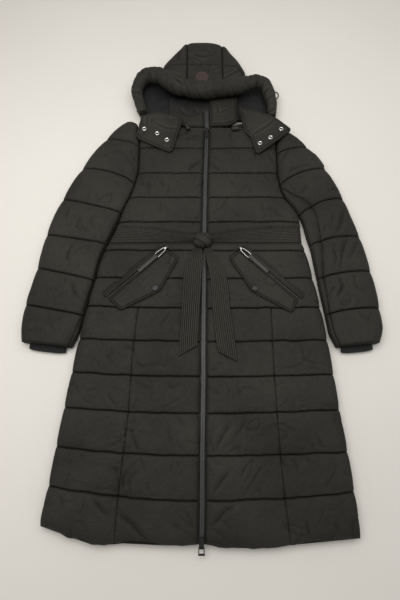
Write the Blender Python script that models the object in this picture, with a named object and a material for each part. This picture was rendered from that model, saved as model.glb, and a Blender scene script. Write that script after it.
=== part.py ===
"""Long puffer coat, laid flat on its back: zipped, belted, its hood on.

+X is the viewer's right, +Y runs toward the head and +Z up from the floor that the back lies on.
The origin lies on the floor under the belt's knot. All lengths below are in millimetres.
"Left" and "right" are the viewer's.
"""
import math
from typing import NamedTuple

import bmesh
import bpy
from mathutils import Vector

MM = 0.001
GAP = 0.3
UP = (0.0, 0.0, 1.0)
DOWN = (0.0, -1.0)

# Layers of the coat, as heights above the floor.
BACK_TOP = 16.0
FRONT_BASE = BACK_TOP + GAP
SEAM_TOP = 20.0
SHOULDER_TOP = 18.5
PUFF_TOP = 33.5
SIDE_BULGE = 3.0
ARMHOLE_FOOT = 110.0
BACK_NECK_RISE = 6.0
BELT_SEAT = 23.5
POCKET_SEAT = 26.5
ZIP_EDGE_TOP = 19.6

# Zip: the visible tapes, and the room that they leave between the fronts.
TAPE_WIDTH = 8.0
TAPE_BASE = 16.7
TAPE_THICKNESS = 2.2
TAPE_ENDS = (-702.0, 414.0)
TAPE_STEPS = 18
# The tapes rise from the fronts onto the collar between these heights up the coat.
TAPE_CLIMBS = (335.0, 372.0)
TAPE_RISE = 4.6

# Phases through a quilted channel, 0 and 1 at its seams, at which a section is cut.
CHANNEL_PHASES = (0.0, 0.14, 0.5, 0.86)
BELT_PHASES = (0.0, 0.09, 0.18, 0.5, 0.8, 0.9)


class Seam(NamedTuple):
    """A quilting seam across the fronts: its height at the zip, its rise to each side edge."""
    y: float
    left_rise: float
    right_rise: float


SEAMS = (
    Seam(352, 4, -6), Seam(278, 2, 0), Seam(195, 0, 0), Seam(117, 0, 0), Seam(42, 0, 0),
    Seam(-42, 2, 0), Seam(-119, 4, 2), Seam(-197, 7, 3), Seam(-280, 9, 4), Seam(-363, 12, 5),
    Seam(-445, 14, 9), Seam(-534, 20, 9), Seam(-622, 29, 17), Seam(-701, 31, 8),
)
BELT_CHANNEL = 4
SKIRT_SEAM = 7
# How far the uneven hem lies below the last seam's even curve, as (place across, distance).
HEM_DROP = (
    (-333, 0), (-302, 2), (-268, 10), (-248, 9), (-226, 16), (-204, 14), (-165, 8), (-124, 1), (-82, 4),
    (-41, 5), (-10, 1.5), (20, 4), (45, 8), (103, 9), (144, 10), (185, 7), (227, 2), (268, 0), (332, 0),
)
# Share of the way from the middle to each side where the back has a further row of points.
BACK_SHARE = 0.6


class Knot(NamedTuple):
    """A point of an outline: how far it lies from the middle at a height up the coat."""
    y: float
    x: float


LEFT_EDGE = (
    Knot(-702, -333), Knot(-670, -333), Knot(-610, -326), Knot(-514, -317), Knot(-410, -306),
    Knot(-299, -293), Knot(-214, -281), Knot(-122, -264), Knot(-69, -254), Knot(-18, -239),
    Knot(10, -227), Knot(50, -214), Knot(101, -197), Knot(164, -177), Knot(220, -170),
    Knot(300, -172), Knot(372, -181),
)
RIGHT_EDGE = (
    Knot(-702, 332), Knot(-677, 331), Knot(-610, 329), Knot(-538, 325), Knot(-437, 316),
    Knot(-341, 310), Knot(-229, 300), Knot(-133, 287), Knot(-47, 273), Knot(-5, 266),
    Knot(35, 266), Knot(62, 261), Knot(88, 248), Knot(115, 230), Knot(150, 218),
    Knot(207, 214), Knot(289, 216), Knot(352, 223),
)
ZIP_LINE = (
    Knot(-705, 3), Knot(-620, 5), Knot(-493, 6), Knot(-371, 8), Knot(-177, 9), Knot(40, 12),
    Knot(187, 15), Knot(354, 20), Knot(430, 19),
)
LEFT_SKIRT_SEAM = (
    Knot(-702, -175), Knot(-609, -172), Knot(-444, -161), Knot(-300, -158), Knot(-190, -150),
)
RIGHT_SKIRT_SEAM = (
    Knot(-702, 185), Knot(-609, 178), Knot(-444, 173), Knot(-300, 172), Knot(-190, 174),
)
# Top of the fronts: the neckline beside the zip, then the shoulder line.
LEFT_SHOULDER = (Knot(356, 0), Knot(357, 55), Knot(372, 92), Knot(376, 120), Knot(371, 200))
RIGHT_SHOULDER = (Knot(356, 0), Knot(357, 55), Knot(372, 92), Knot(372, 120), Knot(352, 210))
# The back's rounded side edge, as how far in from the edge it lies at each height.
BACK_EDGE = (Knot(0.0, 9.0), Knot(4.0, 2.0), Knot(10.0, 0.0), Knot(BACK_TOP, 1.5))


class Rim(NamedTuple):
    """How a quilted piece ends at one edge: its height there, and how far in the filling rises."""
    seam_top: float
    puff_top: float
    reach: float


SIDE_RIM = Rim(FRONT_BASE + 1.2, FRONT_BASE + 3.0, 26.0)
ZIP_RIM = Rim(ZIP_EDGE_TOP, ZIP_EDGE_TOP + 1.0, 20.0)
SKIRT_RIM = Rim(SEAM_TOP - 0.6, 28.5, 14.0)


class SleeveSection(NamedTuple):
    """A section across a sleeve, from its outer edge to its edge beside the body.

    Even rows are quilting seams, odd ones the middles of the channels between them.
    """
    outer_x: float
    outer_y: float
    inner_y: float
    clearance: float
    arch: float
    under_strip: float


LEFT_SLEEVE = (
    SleeveSection(-218, 371, 369, 0.7, 0, 0), SleeveSection(-246, 340, 328, 0.7, 0, 0),
    SleeveSection(-270, 308, 288, 0.7, 2, 0), SleeveSection(-302, 260, 228, 0.7, 6, 0),
    SleeveSection(-330, 206, 162, 0.7, 14, 0), SleeveSection(-352, 160, 112, 1.4, 8, 0),
    SleeveSection(-372, 110, 70, 3.6, 2, 4), SleeveSection(-389, 58, 24, 4.6, 0, 6),
    SleeveSection(-402, 4, -22, 4.6, 0, 7), SleeveSection(-408, -43, -72, 4.0, 0, 7),
    SleeveSection(-414, -90, -123, 4.0, 0, 7), SleeveSection(-421, -138, -169, 4.0, 0, 7),
    SleeveSection(-430, -188, -215, 4.0, 0, 7), SleeveSection(-431, -230, -252, 4.4, 0, 7),
    SleeveSection(-428, -279, -292, 14.0, 0, 7),
)
RIGHT_SLEEVE = (
    SleeveSection(250, 340, 342, 0.7, 0, 0), SleeveSection(284, 309, 302, 0.7, 0, 0),
    SleeveSection(307, 281, 262, 0.7, 2, 0), SleeveSection(332, 246, 212, 0.7, 6, 0),
    SleeveSection(351, 206, 158, 1.2, 14, 0), SleeveSection(370, 162, 116, 3.2, 16, 16),
    SleeveSection(388.5, 110, 66, 5.4, 14, 36), SleeveSection(401, 58, 24, 10.0, 12, 34),
    SleeveSection(418, -4, -24, 17.0, 9, 29), SleeveSection(426, -54, -70, 14.5, 6, 20),
    SleeveSection(433, -100, -119, 11.5, 6, 14), SleeveSection(438, -150, -167, 9.6, 5, 11),
    SleeveSection(441, -197, -213, 9.0, 5, 9), SleeveSection(441, -238, -252, 9.0, 2, 8),
    SleeveSection(431, -281, -291, 19.0, 0, 8),
)
SLEEVE_UNDER_TOP = 14.0
SLEEVE_TOP_BASE = SLEEVE_UNDER_TOP + GAP
SLEEVE_SEAM_TOP = 24.0
SLEEVE_PUFF_TOP = 40.0
SLEEVE_HEM_TOP = 22.0
SLEEVE_RIM = Rim(SLEEVE_TOP_BASE + 1.5, SLEEVE_TOP_BASE + 5.0, 30.0)
ARMHOLE_RIM = Rim(SLEEVE_TOP_BASE + 3.0, SLEEVE_TOP_BASE + 7.0, 42.0)
UNDERARM_RIM = Rim(SLEEVE_SEAM_TOP - 2.0, SLEEVE_SEAM_TOP + 4.0, 16.0)
# The under piece shows beside the body as a strip; it is raised in full where it is this wide.
STRIP_LEAST = 1.0
STRIP_FULL = 4.0
STRIP_RIM_FROM = 3.0
STRIP_TOP_LEAST = SLEEVE_UNDER_TOP + 0.8
# The under piece's outer edge on the floor, as how far in it lies at each height.
SLEEVE_EDGE = (Knot(SLEEVE_UNDER_TOP, 2.0), Knot(9.0, 0.0), Knot(3.0, 3.0), Knot(0.0, 11.0))


class RollPoint(NamedTuple):
    """A point of the hood's padded brim: its middle, its half width and half height."""
    x: float
    y: float
    z: float
    half_width: float
    half_height: float


BRIM = (
    RollPoint(-166, 403, 26.0, 12, 13.6), RollPoint(-181, 448, 27.8, 16, 15.4),
    RollPoint(-188, 485, 29.0, 17, 16.4), RollPoint(-178, 520, 33.0, 20, 19.5),
    RollPoint(-154, 537, 37.0, 22, 21.5), RollPoint(-126, 532, 41.0, 24, 22.5),
    RollPoint(-100, 511, 44.0, 24, 23), RollPoint(-70, 487, 47.0, 25, 24),
    RollPoint(-38, 473, 50.0, 26, 24), RollPoint(7, 467, 51.0, 26, 24),
    RollPoint(45, 469, 51.0, 26, 24), RollPoint(77, 477, 50.0, 27, 24),
    RollPoint(113, 485, 48.0, 25, 23.5), RollPoint(142, 498, 44.0, 21, 21),
    RollPoint(169, 511, 40.0, 19, 19), RollPoint(193, 506, 35.0, 19, 17.5),
    RollPoint(204, 475, 31.0, 18, 17), RollPoint(211, 432, 29.0, 16, 16),
    RollPoint(210, 388, 26.0, 12, 13.6),
)
HOOD_BACK_TOP = 12.0
HOOD_BACK_LEVELS = ((6.0, 0.0), (1.0, 3.0), (0.0, 7.0), (3.0, HOOD_BACK_TOP))
HOOD_TIP = (
    Knot(583, -125), Knot(604, -106), Knot(624, -88), Knot(655, -61), Knot(680, -40), Knot(681, 15),
    Knot(670, 72), Knot(634, 97), Knot(612, 115), Knot(588, 129), Knot(553, 150),
)
HOOD_BACK_OUTLINE = (
    (-170, 392), (-190, 430), (-199, 486), (-186, 530), (-140, 566), (-124, 580), (-106, 600), (-88, 620),
    (-61, 650), (-41, 674), (15, 675), (71, 664), (96, 630), (114, 608), (128, 585), (150, 548),
    (186, 524), (205, 496), (215, 450), (216, 392),
)
HOOD_WALL = 14.0
HOOD_SEAMS = (-112.0, -39.0, 68.0, 138.0)
HOOD_TOPS = (34.0, 46.0, 46.0, 34.0)
HOOD_SEAM_DIP = 4.0
HOOD_FOLD_RADIUS = 32.0
HOOD_FOLD_DEGREES = (0, 28, 55, 76)
HOOD_PIECE_SHARES = (0.0, 0.08, 0.35, 0.65, 0.92, 1.0)
HOOD_FRONT = (
    Knot(554, -112), Knot(528, -80), Knot(501, -40), Knot(493, 8), Knot(502, 67), Knot(513, 112),
    Knot(522, 138),
)
HOOD_PATCH_CENTRE = (6.0, 520.0)
HOOD_PATCH_RADIUS = 20.0
HOOD_PATCH_LEVELS = ((0.0, 0.0), (0.0, 1.2), (0.8, 1.8))
# The seam across the hood's top, and the least share of the top that it keeps from the far fold.
HOOD_CROSS_SEAM = (Knot(577, -112), Knot(573, 8), Knot(569, 138))
HOOD_CROSS_LEAST = 0.2
# Shares of the hood's top from its far fold to that seam, and from the seam to the brim.
HOOD_UPPER_SHARES = (0.0, 0.6)
HOOD_LOWER_SHARES = (0.25, 0.6, 1.0)

# Collar: a back piece that stands behind the neck, and two fronts beside the zip.
COLLAR_BASE = 20.3
BACK_COLLAR = (
    (-93, 468), (-92, 412), (-78, 388), (-50, 378), (20, 376), (84, 380), (110, 392), (112, 468),
)
LEFT_COLLAR = (
    (11, 417), (-12, 400), (-32, 397), (-56, 405), (-88, 424), (-80, 382), (-60, 364), (-40, 358), (12, 357),
)
RIGHT_COLLAR = ((28, 357), (80, 358), (98, 366), (109, 376), (109, 466), (70, 466), (28, 462))
BACK_COLLAR_LEVELS = ((0.5, 0.0), (0.0, 3.0), (1.0, 5.5), (5.0, 7.4))
LEFT_COLLAR_LEVELS = ((0.5, 0.0), (0.0, 2.5), (1.5, 4.5), (6.0, 5.5))
RIGHT_COLLAR_LEVELS = ((0.5, 0.0), (0.0, 6.0), (2.0, 10.0), (9.0, 13.0))
# The right collar thins from one height up the coat to the other, where the brim lies over it.
COLLAR_THINS = (393.0, 456.0)
COLLAR_THINNEST = 0.5

# Hood flaps, on the shoulders, and the centres of their snap rings.
FLAP_BASE = 34.0
LEFT_FLAP = (
    (-170, 384), (-181, 312), (-172, 300), (-88, 257), (-77, 261), (-48, 372), (-75, 390), (-127, 397),
)
RIGHT_FLAP = (
    (113, 420), (125, 331), (144, 306), (155, 254), (165, 251), (255, 320), (256, 329), (226, 362),
    (206, 380),
)
FLAP_LEVELS = ((0.5, 0.0), (0.0, 3.0), (2.0, 6.0), (9.0, 8.0))
FLAP_TILT_FROM = 140.0
FLAP_TILT = 0.09
LEFT_SNAPS = ((-158, 332), (-121, 316), (-93, 294))
RIGHT_SNAPS = ((167, 280), (197, 297), (228, 324))
# Turned pieces, as (distance along the axis, radius) points.
SNAP_RING = ((0.0, 3.2), (0.0, 6.6), (1.6, 6.2), (2.4, 5.0), (1.6, 3.4))
SNAP_RING_RADIUS = 6.6
POCKET_SNAP = ((0.0, 8.6), (1.0, 8.6), (2.2, 7.4), (2.8, 4.0))
CORD_LOCK = ((0, 2.0), (8, 2.2), (8.2, 5.4), (10, 6.4), (22, 6.4), (24, 5.6), (27, 5.2), (28, 3.6))
LEFT_LOCK_START = (-43, 362, 34.5)
LEFT_LOCK_HEADING = (11, -26, 0)
RIGHT_LOCK_START = (119, 340, 35.0)
RIGHT_LOCK_HEADING = (-1, 0, 0)
# Elastic loop of the hood's cord, an arc beside the brim.
CORD_LOOP_CENTRE = (223.2, 471.0, 26.0)
CORD_LOOP_REACH = (11.0, 12.8)
CORD_LOOP_RADIUS = 1.8
CORD_LOOP_DEGREES = range(-80, 101, 20)

# Belt: bands as (place across, upper edge, lower edge), from the side in to the knot.
BELT_THICKNESS = 3.0
BELT_PINCH = 5.0
BELT_INNER = BELT_SEAT + 0.4
# The band's inner face round the side, as (place out from the pinched edge, height).
BELT_WRAP = ((-26, 3.0), (-8.2, 3.0), (-1.0, 6.0), (0.8, 10), (0.8, 19.8), (-2.6, 24.1))
BELT_TURN = 24.0
BELT_RIBS = 9
BELT_RIB_HEIGHT = 0.9
LEFT_BAND = (
    (-240, 27, -18), (-177, 24, -18), (-122, 18, -17), (-78, 9, -16), (-34, -1, -16), (-8, -6, -18),
)
RIGHT_BAND = (
    (280, 26, -17), (188, 21, -18), (115, 15, -18), (78, 10, -17), (46, 0, -17), (22, -6, -18),
)
# Thread loop over the right band, as (height up the coat, underside) points.
BELT_LOOP = ((-26, 24.0), (-24, 27.4), (1, 27.6), (26.2, 27.4), (28.4, 24.0))
BELT_LOOP_PLACE = 256.0
BELT_LOOP_WIDTH = 2.4
BELT_LOOP_THICKNESS = 1.2
KNOT_PLACE = (7.0, -16.0)
KNOT_SIZE = (50.0, 42.0, 24.0)
KNOT_BASE = BELT_INNER + BELT_THICKNESS + GAP
KNOT_SQUARENESS = 0.8
KNOT_LEVELS = ((0.0, 0.8), (0.15, 0.97), (0.45, 1.0), (0.75, 0.85), (0.92, 0.6), (1.0, 0.35))


class TailSection(NamedTuple):
    """A section across a belt tail: its two edges, and how high its underside lies."""
    left: tuple
    right: tuple
    base: float


TAIL_BASE = PUFF_TOP + GAP
TAIL_START = 30.0
LEFT_TAIL = (
    TailSection((-14, -36), (5, -38), TAIL_START), TailSection((-33, -64), (6, -62), TAIL_BASE),
    TailSection((-41, -116), (4, -112), TAIL_BASE), TailSection((-45, -208), (-1, -204), TAIL_BASE),
    TailSection((-48, -270), (-4, -256), TAIL_BASE), TailSection((-49, -316), (-6, -291), TAIL_BASE),
)
RIGHT_TAIL = (
    TailSection((11, -38), (27, -34), TAIL_START), TailSection((16, -70), (45, -62), TAIL_BASE),
    TailSection((25, -116), (65, -112), TAIL_BASE), TailSection((31, -208), (74, -204), TAIL_BASE),
    TailSection((37, -272), (82, -272), TAIL_BASE), TailSection((43, -306), (87, -329), TAIL_BASE),
)

# Pockets: the zip's line from its upper end, the flap's and the welt's outlines along it.
POCKET_BASE = POCKET_SEAT + 0.6
LEFT_POCKET_ZIP = ((-84, -34), (-230, -173))
RIGHT_POCKET_ZIP = ((100, -35), (248, -178))
POCKET_ZIP_HALF = 2.2
POCKET_ZIP_LEVELS = ((0.0, 0.0), (0.0, 1.8), (0.5, 2.2))
LEFT_POCKET_FLAP = (
    (-86, -40), (-57, -62), (-60, -74), (-97, -147), (-106, -156), (-190, -201), (-199, -198), (-224, -172),
)
RIGHT_POCKET_FLAP = (
    (102, -41), (239, -174), (228, -203), (220, -207), (137, -158), (127, -150), (80, -72), (79, -60),
)
LEFT_WELT = ((-89, -34), (-231, -169), (-239, -160), (-187, -112), (-144, -70), (-104, -31))
RIGHT_WELT = ((104, -34), (122, -32), (178, -86), (226, -133), (256, -164), (248, -173))
LEFT_POCKET_SNAP = (-111, -145)
RIGHT_POCKET_SNAP = (137, -146)
POCKET_LEVELS = ((0.6, 0.0), (0.0, 1.2), (0.0, 2.6), (1.4, 4.0))
# A pocket presses the filling flat along a line, as far as a radius from it; then the filling rises.
PRESS_CENTRE = 12.0
PRESS_START = (75.0, -60.0)
PRESS_END = (205.0, -185.0)
PRESS_RADIUS = 76.0
PRESS_SLOPE = 0.4


class Puller(NamedTuple):
    """A slider and its pull: its lengths, and the pull's (forward, width, thickness) sections.

    A window goes through the tab from the section at its first value on, as wide as its second.
    """
    width: float
    length: float
    rise: float
    lug: float
    barrel: float
    tab: tuple
    droop: float
    finish: str
    window: tuple = ()


# The hinge of each pull, above the slider's middle.
TOP_HINGE = (20.0, 342.0, 25.3)
BOTTOM_HINGE = (3.0, -703.0, 24.4)
POCKET_HINGE = POCKET_BASE + 8.6
POCKET_HINGE_INSET = 4.0
TOP_PULLER = Puller(
    10.0, 15.0, 4.1, 1.8, 5.6, ((3.2, 5.0, 1.6), (10, 6.4, 1.6), (18, 7.0, 1.6), (20, 5.0, 1.2)),
    0.0, "black_metal")
BOTTOM_PULLER = Puller(
    11.0, 16.0, 5.2, 1.8, 6.6,
    ((2.6, 6.6, 1.8), (3.6, 9.4, 1.8), (5.4, 11.8, 1.8), (9, 12.6, 1.8), (19, 13.4, 1.8), (22, 13.4, 1.8),
     (22.8, 12.6, 1.4)),
    22.0, "black_metal", (9.0, 9.2))
POCKET_PULLER = Puller(
    7.0, 8.0, 4.2, 1.4, 3.6,
    ((3.2, 4.2, 1.4), (8, 8.0, 1.4), (30, 12.0, 1.4), (34, 10.0, 1.6), (92, 10.0, 1.6), (94, 9.0, 1.2)),
    2.0, "black_metal")
# Share of a narrow section's width from its middle to the window's side line.
WINDOW_INSET = 0.35
BARREL = ((-1.0, 1.4), (-0.6, 2.2), (0.6, 2.2), (1.1, 1.8))
TAB_CORNERS = (
    (1.0, 0.6), (0.9, 1.0), (-0.9, 1.0), (-1.0, 0.6), (-1.0, -0.6), (-0.9, -1.0), (0.9, -1.0), (1.0, -0.6),
)
# The slider's deck and its lugs' crest, from the hinge.
SLIDER_DECK = -2.1
SLIDER_CREST = 1.6
SLIDER_NOSE = 2.4

# Storm cuffs: a flattened tube below each sleeve's hem.
CUFF_SHARE = 0.37
CUFF_INNER_SHARE = 0.34
CUFF_HEIGHT = 7.5
CUFF_HALF = 3.2
CUFF_INNER_HALF = 0.7
CUFF_DEPTHS = (0.4, 9.0, 16.0)
CUFF_CORNER_RISE = 3.0
CUFF_SIDES = 24

# Patch on the right sleeve's outer edge, along these places of the sleeve's table.
SLEEVE_PATCH_PLACES = (2.5, 2.8, 3.1, 3.4, 3.7)
SLEEVE_PATCH_OUT = (0.8, 2.8)
SLEEVE_PATCH_HEIGHTS = (6.0, 25.0)


def smooth(knots, at):
    """Value between knots of a curve that never overshoots them, given as (place, value) pairs."""
    ordered = sorted((float(place), float(value)) for place, value in knots)
    if at <= ordered[0][0]:
        return ordered[0][1]
    if at >= ordered[-1][0]:
        return ordered[-1][1]
    slopes = [(b[1] - a[1]) / (b[0] - a[0]) for a, b in zip(ordered, ordered[1:])]
    tangents = [slopes[0]]
    for before, after in zip(slopes, slopes[1:]):
        tangents.append(0.0 if before * after <= 0 else 2 * before * after / (before + after))
    tangents.append(slopes[-1])
    index = next(i for i in range(len(slopes)) if at <= ordered[i + 1][0])
    (start, low), (end, high) = ordered[index], ordered[index + 1]
    span = end - start
    t = (at - start) / span
    return (low * (1 + 2 * t) * (1 - t) ** 2 + tangents[index] * span * t * (1 - t) ** 2
            + high * t * t * (3 - 2 * t) + tangents[index + 1] * span * t * t * (t - 1))


def outline_at(line, across):
    """Height up the coat of a line of knots, at a place across it."""
    return smooth([(knot.x, knot.y) for knot in line], across)


def side_edge(side, y):
    """Where the body's side edge lies at a height up the coat."""
    return smooth(LEFT_EDGE if side < 0 else RIGHT_EDGE, y)


def climb(places, at):
    """Share of the way from one place to another, 0 before the first and 1 past the second."""
    return min(max((at - places[0]) / (places[1] - places[0]), 0.0), 1.0)


def mix(low, high, share):
    """Value a share of the way from low to high."""
    return low + (high - low) * share


def puff(phase):
    """Rise of a filled channel, 0 at its seams and 1 at its middle."""
    return 1.0 - abs(2.0 * phase - 1.0) ** 2.6


def swell(distance, reach):
    """Quarter-round rise of the filling from an edge, 0 at the edge and 1 from its reach on."""
    share = min(max(distance / reach, 0.0), 1.0)
    return math.sqrt(1.0 - (1.0 - share) ** 2)


def material(name, colour, roughness, metallic=0.0):
    """A plain Principled material."""
    made = bpy.data.materials.new(name)
    made.use_nodes = True
    shader = made.node_tree.nodes["Principled BSDF"]
    shader.inputs["Base Color"].default_value = (*colour, 1.0)
    shader.inputs["Roughness"].default_value = roughness
    shader.inputs["Metallic"].default_value = metallic
    return made


FINISHES = {
    "shell": ((0.030, 0.029, 0.026), 0.62, 0.0),
    "rib": ((0.012, 0.012, 0.013), 0.9, 0.0),
    "tape": ((0.045, 0.045, 0.050), 0.3, 0.0),
    "black_metal": ((0.010, 0.010, 0.011), 0.35, 0.6),
    "silver": ((0.62, 0.61, 0.60), 0.25, 1.0),
    "patch": ((0.045, 0.022, 0.022), 0.6, 0.0),
}


def loft(name, rings, finish, closed=False, origin=(0.0, 0.0, 0.0)):
    """Body through rings of (x, y, z) points of equal count: capped at both ends, or closed round."""
    shape = bmesh.new()
    middle = Vector(origin)
    loops = [[shape.verts.new((Vector(point) - middle) * MM) for point in ring] for ring in rings]
    for first, second in zip(loops, loops[1:] + loops[:1] if closed else loops[1:]):
        for index in range(len(first)):
            after = (index + 1) % len(first)
            shape.faces.new((first[index], first[after], second[after], second[index]))
    if not closed:
        shape.faces.new(tuple(reversed(loops[0])))
        shape.faces.new(tuple(loops[-1]))
    finished(name, shape, finish, middle)


def finished(name, shape, finish, middle):
    """Body of a closed shape whose points lie about its middle."""
    bmesh.ops.recalc_face_normals(shape, faces=shape.faces)
    mesh = bpy.data.meshes.new(name)
    shape.to_mesh(mesh)
    shape.free()
    mesh.shade_smooth()
    mesh.set_sharp_from_angle(angle=math.radians(35))
    mesh.materials.append(material(name + "_finish", *FINISHES[finish]))
    item = bpy.data.objects.new(name, mesh)
    item.location = middle * MM
    bpy.context.collection.objects.link(item)


def stations(width, left_reach, right_reach, inner):
    """Places across a piece: close together where the filling rises, evenly spread between."""
    scale = min(1.0, 0.8 * width / (left_reach + right_reach))
    left, right = left_reach * scale, right_reach * scale
    middle = [mix(left, width - right, step / (inner + 1)) for step in range(1, inner + 1)]
    rises = (0.0, 0.12, 0.45, 1.0)
    return [left * r for r in rises] + middle + [width - right * r for r in reversed(rises)]


def quilted_tops(width, places, phase, left_rim, right_rim, seam_top, puff_top):
    """Heights of a quilted piece across one section."""
    rise = puff(phase)
    tops = []
    for place in places:
        crown = mix(seam_top, puff_top, rise)
        for distance, rim in ((place, left_rim), (width - place, right_rim)):
            edge = min(mix(rim.seam_top, rim.puff_top, rise), crown)
            crown = mix(edge, crown, swell(distance, rim.reach))
        tops.append(crown)
    return tops


# Body


def front_row(side, x, centre_y, rise):
    """Height up the coat of a seam at a place across it, curving up toward the side edge."""
    zip_x = smooth(ZIP_LINE, centre_y)
    edge_x = side_edge(side, centre_y)
    return centre_y + rise * ((x - zip_x) / (edge_x - zip_x)) ** 2


def hem_drop(row, x):
    """How far a section of the last channel lies below the seam's even curve at a place across it."""
    return row[2] * smooth(HEM_DROP, x) if row[1] == len(SEAMS) - 1 else 0.0


def pressed(x, y, top):
    """Height of the front where a pocket presses its filling flat."""
    start, end = Vector(PRESS_START), Vector(PRESS_END)
    here = Vector((abs(x - PRESS_CENTRE), y))
    share = climb((0.0, 1.0), (here - start).dot(end - start) / (end - start).length_squared)
    away = (here - start.lerp(end, share)).length
    return min(top, POCKET_SEAT + PRESS_SLOPE * max(0.0, away - PRESS_RADIUS))


def channel_rows(first, last):
    """(upper seam, lower seam, phase) for each section from one seam to another."""
    rows = []
    for index in range(first, last):
        phases = BELT_PHASES if index == BELT_CHANNEL else CHANNEL_PHASES
        rows += [(index, index + 1, phase) for phase in phases]
    return rows + [(last - 1, last, 1.0)]


def is_belted(row):
    """Whether the belt presses a section flat."""
    return row[0] == BELT_CHANNEL and BELT_PHASES[1] < row[2] < BELT_PHASES[-2] + 0.01


def row_line(side, row):
    """Centre height, rise and side-edge point of a section of the fronts."""
    above, below, phase = SEAMS[row[0]], SEAMS[row[1]], row[2]
    centre = mix(above.y, below.y, phase)
    rises = (above.left_rise, below.left_rise) if side < 0 else (above.right_rise, below.right_rise)
    rise = mix(*rises, phase)
    bulge = SIDE_BULGE * (puff(phase) - 0.5) * climb((ARMHOLE_FOOT, ARMHOLE_FOOT - 40), centre)
    if is_belted(row):
        bulge = -BELT_PINCH
    return centre, rise, side_edge(side, centre + rise) + side * bulge


def front_ring(side, row, inner_limit, outer_limit, inner_rim, outer_rim, inner):
    """Section of a front piece from its edge nearer the zip to its outer one."""
    centre, rise, edge_x = row_line(side, row)
    near = inner_limit(centre)
    far = edge_x if outer_limit is None else outer_limit(centre)
    width = abs(far - near)
    places = stations(width, inner_rim.reach, outer_rim.reach, inner)
    ceiling = BELT_SEAT if is_belted(row) else PUFF_TOP
    ring = []
    tops = quilted_tops(width, places, row[2], inner_rim, outer_rim, SEAM_TOP, PUFF_TOP)
    for place, top in zip(places, tops):
        x = near + side * place
        y = front_row(side, x, centre, rise) - hem_drop(row, x)
        ring.append((x, y, min(pressed(x, y, top), ceiling)))
    ring.append((far, ring[-1][1], FRONT_BASE))
    ring.append((near, ring[0][1], FRONT_BASE))
    return ring


def shoulder_ring(side, inner):
    """Topmost section of a front, along the neckline and the shoulder."""
    line = LEFT_SHOULDER if side < 0 else RIGHT_SHOULDER
    near = smooth(ZIP_LINE, SEAMS[0].y) + side * TAPE_WIDTH
    far = side_edge(side, line[-1].y)
    ring = []
    for place in stations(abs(far - near), ZIP_RIM.reach, SIDE_RIM.reach, inner):
        ring.append((near + side * place, outline_at(line, place), SHOULDER_TOP))
    ring.append((far, ring[-1][1], FRONT_BASE))
    ring.append((near, ring[0][1], FRONT_BASE))
    return ring


def build_front(side, name):
    """Upper front from the neck to the skirt seam's height, and the skirt's two pieces."""
    skirt_seam = LEFT_SKIRT_SEAM if side < 0 else RIGHT_SKIRT_SEAM

    def zip_side(y):
        return smooth(ZIP_LINE, y) + side * TAPE_WIDTH

    def seam_near(y):
        return smooth(skirt_seam, y) - side * GAP / 2

    def seam_far(y):
        return smooth(skirt_seam, y) + side * GAP / 2

    pieces = (
        ("_front", 0, SKIRT_SEAM, zip_side, None, ZIP_RIM, SIDE_RIM, 5),
        ("_skirt_centre", SKIRT_SEAM, len(SEAMS) - 1, zip_side, seam_near, ZIP_RIM, SKIRT_RIM, 2),
        ("_skirt_side", SKIRT_SEAM, len(SEAMS) - 1, seam_far, None, SKIRT_RIM, SIDE_RIM, 2),
    )
    for suffix, first, last, inner_limit, outer_limit, inner_rim, outer_rim, inner in pieces:
        rings = [front_ring(side, row, inner_limit, outer_limit, inner_rim, outer_rim, inner)
                 for row in channel_rows(first, last)]
        if first == SKIRT_SEAM:
            rings[0] = [(x, y - GAP, z) for x, y, z in rings[0]]
        else:
            rings.insert(0, shoulder_ring(side, inner))
        loft(name + suffix, rings, "shell")


def build_back():
    """The back: one padded panel, flat on the floor, its side edges rounded."""
    left, right = LEFT_SHOULDER[-1].y, RIGHT_SHOULDER[-1].y
    left_end, right_end = side_edge(-1, left), side_edge(1, right)
    neck = (0, 0, 0.0)
    rings = [back_ring(neck, (left, BACK_NECK_RISE, left_end), (left, right - left, right_end), 0.0)]
    for row in channel_rows(0, len(SEAMS) - 1):
        floor = BELT_THICKNESS + GAP if is_belted(row) else 0.0
        rings.append(back_ring(row, row_line(-1, row), row_line(1, row), floor))
    loft("back", rings, "shell")


def back_ring(row, left_line, right_line, floor):
    """Section of the back between the two side edges, its underside at the floor or over the belt."""
    centre = left_line[0]
    middle_x = smooth(ZIP_LINE, centre)
    across = [(middle_x, centre - hem_drop(row, middle_x))]
    sides = []
    for (_, rise, edge), side in ((left_line, -1), (right_line, 1)):
        sides.append([(edge - side * inward, centre + rise, mix(floor, BACK_TOP, height / BACK_TOP))
                      for height, inward in BACK_EDGE])
        x = mix(middle_x, edge, BACK_SHARE)
        across.insert(0 if side < 0 else 2, (x, centre + rise * BACK_SHARE ** 2 - hem_drop(row, x)))
    left, right = sides
    lower = [(x, y, floor) for x, y in across]
    upper = [(x, y, BACK_TOP) for x, y in reversed(across)]
    return left[::-1] + lower + right + upper


# Sleeves


def sleeve_sections(table, side):
    """Sections from shoulder to hem as (outer point, inner point, arch, strip, phase)."""
    last = len(table) - 1
    places = [(seam + 2 * phase, phase) for seam in range(0, last, 2) for phase in CHANNEL_PHASES]
    return [sleeve_section(table, side, *place) for place in places + [(last, 1.0)]]


def sleeve_section(table, side, place, phase):
    """One section of a sleeve, at a place along its table."""
    fields = [[(index, row[field]) for index, row in enumerate(table)] for field in range(6)]
    outer_x, outer_y, inner_y, clearance, arch, strip = (smooth(field, place) for field in fields)
    bulge = SIDE_BULGE * (puff(phase) - 0.5)
    inner_x = side_edge(side, inner_y) + side * clearance
    return (outer_x + side * bulge, outer_y), (inner_x, inner_y), arch, strip, phase


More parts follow.
